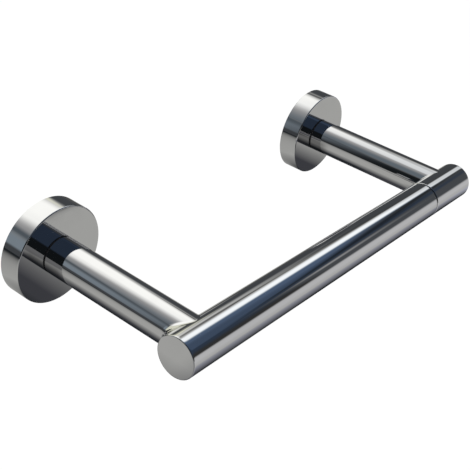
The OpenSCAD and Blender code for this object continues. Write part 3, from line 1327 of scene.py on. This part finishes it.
@dataclass
class PostSet:
    """What both posts have: the tube, its plug, the dark seat washer and the pin beside the screw."""

    side: str
    layout: Layout
    fillet: float = 0.5 * MM
    wide_fillet: float = 0.0
    tube_wall: float = 1.5 * MM
    plug_len: float = 14 * MM
    chamfer: float = 0.4 * MM
    washer_step: float = 0.4 * MM
    thread_r: float = 2.5 * MM
    thread_len: float = 9 * MM
    thread_pitch: float = 0.8 * MM
    pin_r: float = 0.75 * MM
    pin_depth: float = 5 * MM
    pin_angle: float = -45.0
    bush_bore_r: float = 3.05 * MM
    bush_wall: float = 0.7 * MM
    run_gap: float = 0.05 * MM
    stop_slot_start: float = 8.0 * MM
    socket_share: float = 0.84

    @property
    def bore(self) -> float:
        """The radius of the tube's bore."""
        return self.layout.post_r - self.tube_wall

    @property
    def pin_pitch_r(self) -> float:
        """The radius that the pin stands at."""
        return (self.bush_bore_r + self.bush_wall + self.bore) / 2

    def build(self, shop: Workshop, pin_node: str) -> None:
        """Builds the tube, plug, washer and pin.

        Args:
            shop: the workshop on this post's axis.
            pin_node: the node of this post's pin.
        """
        layout, back = self.layout, self.layout.post_back
        tube = CopedTube(layout.post_r, self.bore, back, -layout.bar_y, layout.bar_r, self.fillet,
                         self.wide_fillet)
        chrome = shop.material(Slot.CHROME)
        shop.make(f"{self.side}_post", Slot.CHROME, tube.mesh(chrome))
        pin_at = polar(self.pin_pitch_r, self.pin_angle)
        plug = lathe(pin_profile(self.bore - FIT_GAP, back, back + self.plug_len, self.chamfer))
        tapped = prism(circle(self.thread_r), back - OVERRUN, back + self.thread_len + OVERRUN)
        drilled = prism(
            circle(self.pin_r + FIT_GAP, pin_at), back - OVERRUN, back + self.pin_depth + FIT_GAP)
        shop.make(f"{self.side}_post_plug", Slot.BRASS, combined(plug, [tapped, drilled], Operation.CUT))
        washer = lathe(ring_profile(
            layout.post_r - self.washer_step, self.bush_bore_r, layout.flange_depth + self.run_gap, back))
        pin_hole = prism(
            circle(self.pin_r + self.run_gap, pin_at), layout.flange_depth - OVERRUN, back + OVERRUN)
        shop.make(f"{self.side}_seat_washer", Slot.NYLON, combined(washer, [pin_hole], Operation.CUT))
        pin = lathe(pin_profile(
            self.pin_r, self.stop_slot_start + self.run_gap, back + self.pin_depth, self.pin_r / 3))
        pin.transform(Matrix.Translation((*pin_at, 0)))
        shop.make(pin_node, Slot.STAINLESS, pin)

    def screw(self, shop: Workshop, node: str, head_r: float, head_low: float, head_high: float,
              shank_r: float) -> None:
        """Builds a screw with a knurled head, a hex socket, a plain shank and a thread.

        Args:
            shop: the workshop on this post's axis.
            node: the screw's node.
            head_r: the head's radius.
            head_low: where the head begins, out from the wall.
            head_high: where it ends.
            shank_r: the radius of the plain shank.
        """
        back, end = self.layout.post_back, self.layout.post_back + self.thread_len
        knurl = Knurl(head_r, head_low + self.chamfer, head_high - self.chamfer)
        threaded = self.thread_len - 2 * self.chamfer
        thread = Thread(self.thread_r, self.thread_pitch, back + self.chamfer, threaded)
        core, waist = self.thread_r - thread.depth, head_r - knurl.ridge / 2
        blank = lathe([
            (0, head_low), (waist - self.chamfer, head_low), (waist, head_low + self.chamfer),
            (waist, head_high - self.chamfer), (waist - self.chamfer, head_high), (shank_r, head_high),
            (shank_r, back), (core, back + self.chamfer / 4), (core, end - self.chamfer),
            (core - self.chamfer, end), (0, end),
        ])
        socket = prism(hexagon(self.socket_share * head_r), head_low - OVERRUN, (head_low + head_high) / 2)
        shop.make(node, Slot.STAINLESS, combined(blank, [socket], Operation.CUT))
        shop.trim(f"{node}_thread", Slot.STAINLESS, thread.mesh)
        shop.trim(f"{node}_knurl", Slot.STAINLESS, knurl.mesh)


@dataclass
class Pivot:
    """The left mount and post: the flange, the bush and the bolt that the arm turns on."""

    layout: Layout
    shoulder_r: float = 3 * MM
    bolt_head_r: float = 5.5 * MM
    bolt_head_h: float = 3 * MM
    thrust_t: float = 0.8 * MM
    spring_h: float = 0.75 * MM
    spring_t: float = 0.4 * MM
    free_low: float = 3.0
    free_high: float = 1.0
    swing: float = 90.0
    wide_fillet: float = 4.5 * MM

    def build(self) -> None:
        """Builds both bodies' pieces on the left post's axis."""
        place = Place.on_post(self.layout.left_x)
        fixed, moving = Workshop(place, Body.WALL_SET), Workshop(place, Body.ARM)
        post = PostSet("left", self.layout, wide_fillet=self.wide_fillet)
        bush_r = post.bush_bore_r + post.bush_wall
        mount = WallMount("left", self.layout, bush_r + FIT_GAP)
        first = post.pin_angle - self.free_low
        last = post.pin_angle + self.swing + self.free_high
        slot = arc_slot(post.pin_pitch_r, post.pin_r + post.run_gap, first, last)
        mount.build(fixed, prism(slot, post.stop_slot_start, self.layout.flange_depth + OVERRUN))
        post.build(moving, "stop_pin")
        self.bearing(fixed, moving, mount, post)

    def bearing(self, fixed: Workshop, moving: Workshop, mount: WallMount, post: PostSet) -> None:
        """Builds the bush, thrust washer, disc spring and bolt.

        Args:
            fixed: the workshop of the wall's side.
            moving: the workshop of the arm's side.
            mount: the flange that they sit in.
            post: the post that the bolt holds.
        """
        inner, bore = mount.inner, post.bush_bore_r
        fixed.make("pivot_bush", Slot.ACETAL, lathe(ring_profile(
            bore + post.bush_wall, bore, inner, self.layout.flange_depth)))
        fixed.make("thrust_washer", Slot.ACETAL, lathe(ring_profile(
            self.bolt_head_r, bore, inner - self.thrust_t, inner, EASED_EDGE)))
        spring_top = inner - self.thrust_t - post.run_gap
        head_high = spring_top - self.spring_h
        moving.make("disc_spring", Slot.SPRING, lathe([
            (bore, head_high), (bore, head_high + self.spring_t), (self.bolt_head_r, spring_top),
            (self.bolt_head_r, spring_top - self.spring_t)]))
        post.screw(moving, "pivot_bolt", self.bolt_head_r, head_high - self.bolt_head_h, head_high,
                   self.shoulder_r)


@dataclass
class FixedPost:
    """The right mount and post, which stay on the wall."""

    layout: Layout
    screw_head_r: float = 4.25 * MM
    screw_head_h: float = 3.4 * MM
    lock_washer_t: float = 1.2 * MM
    screw_gap: float = 0.25 * MM
    split: float = 12.0

    def build(self) -> None:
        """Builds the pieces on the right post's axis."""
        shop = Workshop(Place.on_post(self.layout.right_x), Body.WALL_SET)
        post = PostSet("right", self.layout)
        mount = WallMount("right", self.layout, post.thread_r + self.screw_gap)
        pin_hole = circle(post.pin_r + FIT_GAP, polar(post.pin_pitch_r, post.pin_angle))
        mount.build(shop, prism(pin_hole, post.stop_slot_start, self.layout.flange_depth + OVERRUN))
        post.build(shop, "locating_pin")
        head_high = mount.inner - self.lock_washer_t
        post.screw(shop, "right_post_screw", self.screw_head_r, head_high - self.screw_head_h, head_high,
                   post.thread_r - post.thread_pitch / 4)
        washer = ring_profile(
            self.screw_head_r, post.thread_r + self.screw_gap, head_high, mount.inner, EASED_EDGE)
        shop.make("right_lock_washer", Slot.SPRING, lathe(washer, 90 + self.split / 2, 360 - self.split))


@dataclass
class BarLine:
    """The bar with its cap and slotted end, and the head with its cap and rest pin."""

    layout: Layout
    wall: float = 1.5 * MM
    cap_t: float = 1.2 * MM
    cap_round: float = 0.45 * MM
    cap_spigot: float = 6 * MM
    cap_spigot_wall: float = 1.2 * MM
    seam_round: float = 0.35 * MM
    chamfer: float = 0.4 * MM
    bar_plug_len: float = 12 * MM
    head_plug_len: float = 11 * MM
    rest_pin_r: float = 2.5 * MM
    rest_play: float = 0.15 * MM
    rest_pin_reach: float = 4 * MM
    rest_pin_depth: float = 8 * MM

    @property
    def bore(self) -> float:
        """The radius of the tubes' bore."""
        return self.layout.bar_r - self.wall

    def stock(self, cap_end: float, seam_end: float) -> bpy.types.Mesh:
        """Turns a length of tube, square at its cap and rounded at the seam.

        Args:
            cap_end: where it meets its cap along w.
            seam_end: where it ends at the seam.

        Returns:
            Its mesh on the bar's axis.
        """
        outer, edge = self.layout.bar_r, self.seam_round
        way = 1 if seam_end > cap_end else -1
        rounded = arc((outer - edge, 0), edge, 0, 90)
        return lathe([
            (self.bore, cap_end), (outer, cap_end),
            *((r, seam_end - way * (edge - w)) for r, w in rounded), (self.bore, seam_end),
        ])

    def cap(self, face: float, way: int) -> bpy.types.Mesh:
        """Turns a cap with a spigot that fits the bore.

        Args:
            face: where its face lies along w.
            way: 1 if the face looks along w, or -1 if it looks back.

        Returns:
            Its mesh on the bar's axis.
        """
        outer, edge, inside = self.layout.bar_r, self.cap_round, self.bore - FIT_GAP
        back = face - way * self.cap_t
        tip = back - way * self.cap_spigot
        rounded = arc((outer - edge, 0), edge, 0, 90)
        return lathe([
            (0, face), *((r, face - way * (edge - w)) for r, w in reversed(rounded)), (outer, back),
            (inside, back), (inside, tip + way * self.chamfer), (inside - self.chamfer, tip),
            (inside - self.cap_spigot_wall, tip), (inside - self.cap_spigot_wall, back), (0, back),
        ])

    def rest_slot(self) -> bpy.types.Mesh:
        """Builds what is cut out of the free end: a round way for the pin, open downward.

        Returns:
            Its mesh on the bar's axis.
        """
        layout, half = self.layout, self.rest_pin_r + self.rest_play
        start = layout.bar_end - self.rest_pin_reach
        end = layout.bar_end + OVERRUN
        floor = layout.bar_r + OVERRUN
        round_way = arc((0, 0), half, 90, 270, SLOT_STEPS)
        return prism([*round_way, (floor, -half), (floor, half)], start, end)

    def build(self) -> None:
        """Builds the pieces on the bar's axis."""
        layout = self.layout
        place = Place.on_bar(layout.bar_y)
        moving, fixed = Workshop(place, Body.ARM), Workshop(place, Body.WALL_SET)
        tube = self.stock(layout.bar_left + self.cap_t, layout.bar_end)
        moving.make("bar_tube", Slot.CHROME, combined(tube, [self.rest_slot()], Operation.CUT))
        moving.make("bar_cap", Slot.CHROME, self.cap(layout.bar_left, -1))
        plug_r = self.bore - FIT_GAP
        end_plug = lathe(pin_profile(
            plug_r, layout.bar_end - self.bar_plug_len, layout.bar_end, self.seam_round))
        moving.make("bar_end_plug", Slot.BRASS, combined(end_plug, [self.rest_slot()], Operation.CUT))
        fixed.make("head_tube", Slot.CHROME, self.stock(layout.head_right - self.cap_t, layout.head_start))
        fixed.make("head_cap", Slot.CHROME, self.cap(layout.head_right, 1))
        head = layout.head_start
        head_plug = lathe(pin_profile(plug_r, head, head + self.head_plug_len, self.seam_round))
        pin_hole = prism(
            circle(self.rest_pin_r + FIT_GAP), head - OVERRUN, head + self.rest_pin_depth + FIT_GAP)
        fixed.make("head_plug", Slot.BRASS, combined(head_plug, [pin_hole], Operation.CUT))
        fixed.make("rest_pin", Slot.STAINLESS, lathe(pin_profile(
            self.rest_pin_r, head - self.rest_pin_reach, head + self.rest_pin_depth, self.chamfer)))


@dataclass(frozen=True)
class Band:
    """A range of angles in degrees with soft ends."""

    low: float
    high: float
    soft_low: float
    soft_high: float

    def mask(self, angle: Socket) -> Socket:
        """Gives 1 inside the range and 0 outside it."""
        rising = angle.rise(self.low - self.soft_low / 2, self.low + self.soft_low / 2)
        return rising * (1 - angle.rise(self.high - self.soft_high / 2, self.high + self.soft_high / 2))


@dataclass(frozen=True)
class Card:
    """A soft card in the light tent, by azimuth from +X, elevation and angle round the bar."""

    level: float
    tint: Tint
    azimuth: Band
    elevation: Band
    bar_angle: Optional[Band] = None

    def mask(self, azimuth: Socket, elevation: Socket, bar_angle: Socket) -> Socket:
        """Gives 1 on the card and 0 beside it.

        Args:
            azimuth: the azimuth of a direction.
            elevation: its elevation.
            bar_angle: its angle round the bar.

        Returns:
            The mask.
        """
        inside = self.azimuth.mask(azimuth) * self.elevation.mask(elevation)
        return inside * self.bar_angle.mask(bar_angle) if self.bar_angle else inside


# Past any angle, for a card that has no upper end.
OPEN_END = 400.0
# Most of these numbers, and many of the mirrored table's, are the rounded outcome of a least-squares
# fit to the light in the photograph's chrome. The others were set one by one.
CARDS: dict[str, Card] = {
    "left_wall": Card(0.48, Tint.COOL, Band(112, 151, 14, 19), Band(5.5, 60, 5, 6)),
    "back_panel": Card(0.97, Tint.WARM, Band(36, 140, 14.5, 11.5), Band(29.5, OPEN_END, 24, 1)),
    "panel_end": Card(0.64, Tint.NEUTRAL, Band(101.5, 190, 40.5, 20), Band(55, OPEN_END, 21.5, 1)),
    "left_falloff": Card(0.56, Tint.NEUTRAL, Band(116.5, 190, 24, 20), Band(28, OPEN_END, 4, 1)),
    "left_ceiling": Card(0.39, Tint.COOL, Band(136, 190, 24, 20), Band(33.5, OPEN_END, 4, 1)),
    "left_joint": Card(0.32, Tint.COOL, Band(118, 153.5, 8, 6.5), Band(23, 34, 11.5, 7)),
    "left_curtain": Card(0.09, Tint.COOL, Band(153.5, 236, 9.5, 24.5), Band(-9, 34, 6, 6.5)),
    "right_panel": Card(0.59, Tint.WARM, Band(12, 40, 15.5, 17), Band(31, OPEN_END, 4.5, 1)),
    "bar_dip": Card(0.4, Tint.NEUTRAL, Band(29.8, 38, 3, 4), Band(34.5, 41, 3, 4)),
    "right_joint": Card(
        0.23, Tint.WARM, Band(12, 41.5, 8, 6), Band(23.5, 37.5, 4, 2), Band(52, 58, 13.5, 15.5)),
    "overhead_strip": Card(
        0.8, Tint.FROST, Band(-4, 109.5, 1, 1), Band(34, OPEN_END, 6, 1), Band(65.5, 90, 16.5, 6)),
    "strip_front": Card(
        0.97, Tint.FROST, Band(-4, 28.5, 1, 3), Band(25, OPEN_END, 3.5, 1), Band(66.5, 87, 16, 11)),
    "strip_end": Card(
        0.78, Tint.FROST, Band(-4, 28.5, 1, 3), Band(25, 33.5, 3.5, 5), Band(66.5, 86, 16, 11)),
    "back_low": Card(0.8, Tint.CREAM, Band(62, 118, 6, 10), Band(6, 34, 10, 6)),
    "back_glow": Card(0.84, Tint.CREAM, Band(45.3, 62, 5, 6), Band(20.5, 30, 5, 6)),
    "back_glow_low": Card(0.6, Tint.CREAM, Band(48.3, 62, 3.5, 6), Band(15.5, 22, 5, 6)),
    "front_flag": Card(
        0.29, Tint.NAVY, Band(-45.5, -20, 7.5, 8.5), Band(31, OPEN_END, 3, 1), Band(90.5, OPEN_END, 6, 1)),
    "front_flag_end": Card(
        0.35, Tint.NAVY, Band(-21, 2.5, 14, 6), Band(37.5, OPEN_END, 5.5, 1), Band(92.5, OPEN_END, 4.5, 1)),
    "front_flag_top": Card(
        0.65, Tint.SLATE, Band(-40, 6.5, 8, 6), Band(33.5, OPEN_END, 5.5, 1), Band(89, 91, 6.5, 12)),
    "front_joint": Card(0.16, Tint.SLATE, Band(-37.5, -18, 9, 9.5), Band(29.5, 33.5, 2, 4)),
    "front_joint_end": Card(
        0.04, Tint.SLATE, Band(-28.5, 3, 10, 6), Band(32.5, 34.5, 4, 6.5), Band(92.5, OPEN_END, 4.5, 1)),
    "front_wall": Card(0.27, Tint.MIST, Band(-42, 3, 3, 6), Band(0, 26, 6, 6), Band(91, OPEN_END, 4, 1)),
    "front_lamp": Card(0.58, Tint.NEUTRAL, Band(-38.5, -33, 5, 11.5), Band(19.5, 24, 6, 5.5)),
    "right_low": Card(0.64, Tint.WARM, Band(47.6, 60, 4, 8), Band(-20, 1.5, 4, 11)),
    "front_sweep": Card(
        0.68, Tint.NEUTRAL, Band(-60, 3, 16, 6), Band(-20, 4.5, 1, 8), Band(91, OPEN_END, 4, 1)),
}


@dataclass(frozen=True)
class Shadow:
    """A soft dark patch on the reflected table, by its core's box and how far it fades.

    Toward the wall it may fade some times faster.
    """

    low: Point2
    high: Point2
    fade: float
    faster_back: float = 1.0

    def light(self, x: Socket, y: Socket) -> Socket:
        """Gives 0 in the core, rising to 1 where the patch ends.

        Args:
            x: the row's x of a point of the table.
            y: its y.

        Returns:
            The share of light there.
        """
        centre_x, half_x = (self.low[0] + self.high[0]) / 2, (self.high[0] - self.low[0]) / 2
        across = ((x - centre_x).function("ABSOLUTE") - half_x).function("MAXIMUM", 0.0)
        behind = (y - self.high[1]).function("MAXIMUM", 0.0) * self.faster_back
        before = (self.low[1] - y).function("MAXIMUM", 0.0)
        along = behind + before
        return (across * across + along * along).function("SQRT").ramp(0.0, self.fade)


@dataclass(frozen=True)
class Lamp:
    """A large soft round lamp."""

    at: Vector
    size: float
    power: float


LAMPS = {
    "key": Lamp(Vector((-0.5, -0.5, 1.5)), 1.4, 9.0),
    "fill": Lamp(Vector((1.2, -1.0, 1.0)), 1.6, 5.0),
}


@dataclass
class Studio:
    """Camera, floor, plain lamps and the light tent that the polish mirrors."""

    layout: Layout
    lens: float = 73.24
    sensor_width: float = 36.0
    camera_at: Vector = Vector((-0.32193, -0.24849, 0.21748))
    camera_right: Vector = Vector((0.62200151, -0.77159712, 0.13323666))
    camera_up: Vector = Vector((0.33524452, 0.41619704, 0.84521662))
    ambient: float = 0.55
    floor_z: float = -0.42
    floor_half: float = 30.0
    floor_t: float = 10 * MM
    floor_grey: float = 0.9
    floor_glow: float = 1.09
    floor_glow_share: float = 0.85
    sheet_t: float = 0.5 * MM
    sheet_sides: int = 96
    table_z: float = -0.038
    table_r: float = 0.7
    ground_lift: float = 10 * MM
    ground_r: float = 5.0
    ground_far: float = 1.6
    tent_r: float = 5.2
    tent_rings: int = 32
    seam_azimuth: float = -110.0
    seam_bar_angle: float = -90.0

    def build(self) -> None:
        """Builds all of the studio."""
        self.camera()
        self.world()
        self.floor()
        self.hang_lamps()
        self.tent()
        self.table()
        self.ground()
        bpy.context.scene.view_settings.view_transform = "Standard"

    def camera(self) -> None:
        """Puts the camera where the photograph was taken from."""
        data = bpy.data.cameras.new("camera")
        data.lens = self.lens
        data.sensor_width = self.sensor_width
        camera = linked("camera", data)
        back = self.camera_right.cross(self.camera_up)
        turn = Matrix((self.camera_right, self.camera_up, back)).transposed().to_4x4()
        camera.matrix_world = Matrix.Translation(self.camera_at) @ turn
        bpy.context.scene.camera = camera

    @staticmethod
    def seen(tree: Tree) -> Socket:
        """Gives 1 for rays of the camera and those that gloss and glass send on.

        Args:
            tree: the nodes of a material or of the world.

        Returns:
            The mask.
        """
        path = tree.node("ShaderNodeLightPath")
        kinds = ("Camera", "Glossy", "Transmission")
        camera, glossy, transmission = (Socket(tree, path.outputs[f"Is {kind} Ray"]) for kind in kinds)
        return (camera + glossy + transmission).function("MINIMUM", 1.0)

    def world(self) -> None:
        """Makes a white backdrop that lights the object as a plain grey sky."""
        world = bpy.data.worlds.new("studio")
        world.use_nodes = True
        bpy.context.scene.world = world
        tree = Tree(world.node_tree)
        white = opaque((1, 1, 1))
        light = tree.add("ShaderNodeBackground", {}, {"Color": white, "Strength": self.ambient})
        backdrop = tree.add("ShaderNodeBackground", {}, {"Color": white, "Strength": 1.0})
        mixed = tree.add("ShaderNodeMixShader", {}, {0: self.seen(tree), 1: light, 2: backdrop})
        tree.node("ShaderNodeOutputWorld", {}, {"Surface": mixed})

    def floor(self) -> None:
        """Lays a pale floor that shows white and keeps the object's shadow."""
        half = self.floor_half
        square = [(-half, -half), (half, -half), (half, half), (-half, half)]
        floor = self.stage_mesh("floor", prism(square, self.floor_z - self.floor_t, self.floor_z))
        material, tree = new_material("pale_floor")
        grey, white = opaque([self.floor_grey] * 3), opaque((1, 1, 1))
        paint = tree.add("ShaderNodeBsdfDiffuse", {}, {"Color": grey})
        glow = tree.add("ShaderNodeEmission", {}, {"Color": white, "Strength": self.floor_glow})
        share = self.seen(tree) * self.floor_glow_share
        mixed = tree.add("ShaderNodeMixShader", {}, {0: share, 1: paint, 2: glow})
        tree.node("ShaderNodeOutputMaterial", {}, {0: mixed})
        floor.data.materials.append(material)

    def hang_lamps(self) -> None:
        """Hangs the lamps, which the polish doesn't mirror because the tent is there for that."""
        target = Vector((0, self.layout.bar_y / 2, 0))
        for name, lamp in LAMPS.items():
            data = bpy.data.lights.new(name, "AREA")
            data.shape = "DISK"
            data.size = lamp.size
            data.energy = lamp.power
            hung = linked(name, data)
            hung.location = lamp.at
            hung.rotation_mode = "QUATERNION"
            hung.rotation_quaternion = (target - lamp.at).to_track_quat("-Z", "Y")
            hung.visible_glossy = False

    @staticmethod
    def stage_mesh(name: str, mesh: bpy.types.Mesh) -> bpy.types.Object:
        """Makes a stage object from a mesh.

        Args:
            name: the object's name.
            mesh: its mesh.

        Returns:
            The object.
        """
        mesh.name = name
        made = linked(name, mesh)
        return made

    def sheet(self, name: str, radius: float, z: float) -> bpy.types.Object:
        """Lays a thin round sheet on the stage, its top at height z."""
        return self.stage_mesh(name, prism(circle(radius, sides=self.sheet_sides), z - self.sheet_t, z))

    @staticmethod
    def mirrored_only(obj: bpy.types.Object, material: bpy.types.Material, colour: Socket) -> None:
        """Makes a stage object glow in a colour that only glossy rays see.

        Args:
            obj: the object.
            material: its material.
            colour: the colour as seen in the polish.
        """
        tree = colour.tree
        inputs = {"Color": colour, "Strength": 1 / CHROME_REFLECTANCE}
        tree.node("ShaderNodeOutputMaterial", {}, {0: tree.add("ShaderNodeEmission", {}, inputs)})
        obj.data.materials.append(material)
        material.cycles.emission_sampling = "NONE"
        for ray in ("camera", "diffuse", "shadow", "transmission", "volume_scatter"):
            setattr(obj, f"visible_{ray}", False)

    def tent(self) -> None:
        """Builds the tent as a dome with soft cards painted on it one over the other."""
        built = bmesh.new()
        bmesh.ops.create_uvsphere(
            built, u_segments=2 * self.tent_rings, v_segments=self.tent_rings, radius=self.tent_r)
        dome = self.stage_mesh("light_tent", closed_mesh(built))
        material, tree = new_material("light_tent")
        x, y, z = tree.point().unit().xyz()
        degrees = 180 / math.pi
        turned = y.function("ARCTAN2", x) * degrees - self.seam_azimuth
        azimuth = turned.function("WRAP", 360.0, 0.0) + self.seam_azimuth
        elevation = z.function("ARCSINE") * degrees
        rolled = z.function("ARCTAN2", y) * degrees - self.seam_bar_angle
        bar_angle = rolled.function("WRAP", 360.0, 0.0) + self.seam_bar_angle
        upper_front, behind_front = elevation.rise(12.0, 28.0), y.rise(-0.35, -0.05)
        coats = [(upper_front, 0.213, Tint.NAVY), (behind_front, 0.245, Tint.MIST)]
        for card in CARDS.values():
            coats.append((card.mask(azimuth, elevation, bar_angle), card.level, card.tint))
        self.mirrored_only(dome, material, tree.painted(shade_of(0.18, Tint.NEUTRAL), coats))

    def table(self) -> None:
        """Lays the table that the undersides mirror, with the soft shadow of the holder on it."""
        table = self.sheet("mirrored_table", self.table_r, self.table_z)
        material, tree = new_material("mirrored_table")
        x, y, _ = tree.point().xyz()
        left, right, bar_y = self.layout.left_x, self.layout.right_x, self.layout.bar_y
        soft = {
            "bar": Shadow(
                (left + 14 * MM, bar_y - 9.5 * MM), (right + 46 * MM, bar_y - 6.5 * MM), 55 * MM, 4.0),
            "bar_right": Shadow(
                (7 * MM, bar_y - 9.5 * MM), (right + 16 * MM, bar_y + 15.5 * MM), 22 * MM),
            "left_post": Shadow((left - 15 * MM, bar_y), (left + 15 * MM, -4 * MM), 35 * MM),
            "right_post": Shadow((right - 8 * MM, bar_y), (right + 8 * MM, -6 * MM), 32 * MM),
            "right_side": Shadow((right + 8 * MM, bar_y), (right + 33 * MM, -6 * MM), 25 * MM, 1.5),
        }
        contact = {
            "bar_left": Shadow(
                (left + 20 * MM, bar_y - 6.5 * MM), (7 * MM, bar_y - 0.5 * MM), 5 * MM),
            "bar_right": Shadow(
                (10 * MM, bar_y - 4.5 * MM), (right + 70 * MM, bar_y + 10 * MM), 14 * MM),
            "left_foot": Shadow((left - 4 * MM, bar_y), (left + 1 * MM, -2 * MM), 8 * MM),
            "right_foot": Shadow((right - 3 * MM, -24 * MM), (right + 6 * MM, -2 * MM), 12 * MM),
        }
        behind = y.rise(-253 * MM, -77 * MM)
        under_bar = y.rise(-150 * MM, -125 * MM) * (1 - y.rise(-100 * MM, -90 * MM))
        front_left = (-x).rise(88 * MM, 140 * MM) * (-y).rise(58 * MM, 78 * MM)
        past_wall = y.rise(-12 * MM, 238 * MM)
        dark_side = x.rise(29 * MM, 63 * MM) * y.rise(25 * MM, 43 * MM)
        top = tree.painted(shade_of(0.686, Tint.NEUTRAL), [
            (behind, 0.608, Tint.WARM),
            (under_bar, 0.62, Tint.LILAC),
            (front_left, 0.459, Tint.NEUTRAL),
            (past_wall, 0.13, Tint.COOL),
            (dark_side, 0.27, Tint.NEUTRAL),
        ])
        shaded = tree.painted(top, [
            (1 - self.least(soft.values(), x, y), 0.228, Tint.LILAC),
            (1 - self.least(contact.values(), x, y), 0.13, Tint.COOL),
        ])
        self.mirrored_only(table, material, shaded)

    @staticmethod
    def least(shadows: Iterable[Shadow], x: Socket, y: Socket) -> Socket:
        """Gives the least light that any of the shadows leaves.

        Args:
            shadows: the shadows.
            x: the row's x of a point of the table.
            y: its y.

        Returns:
            The share of light there.
        """
        first, *others = (shadow.light(x, y) for shadow in shadows)
        for other in others:
            first = first.function("MINIMUM", other)
        return first

    def ground(self) -> None:
        """Lays the ground past the table, which only the lifted bar mirrors."""
        ground = self.sheet("mirrored_ground", self.ground_r, self.floor_z + self.ground_lift)
        material, tree = new_material("mirrored_ground")
        x, y, _ = tree.point().xyz()
        away = (x * x + y * y).function("SQRT")
        self.mirrored_only(ground, material, tree.painted(shade_of(0.66, Tint.NEUTRAL), [
            (y.rise(-0.3, 0.5), 0.16, Tint.COOL),
            (away.rise(self.ground_far, self.ground_r), 0.6, Tint.NEUTRAL),
        ]))


def main() -> None:
    """Builds the sub-assemblies and the studio in order."""
    logging.basicConfig(level=logging.INFO, format="%(name)s: %(message)s")
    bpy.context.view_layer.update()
    layout = Layout.from_frame()
    Pivot(layout).build()
    FixedPost(layout).build()
    BarLine(layout).build()
    Studio(layout).build()


if __name__ == "__main__":
    main()
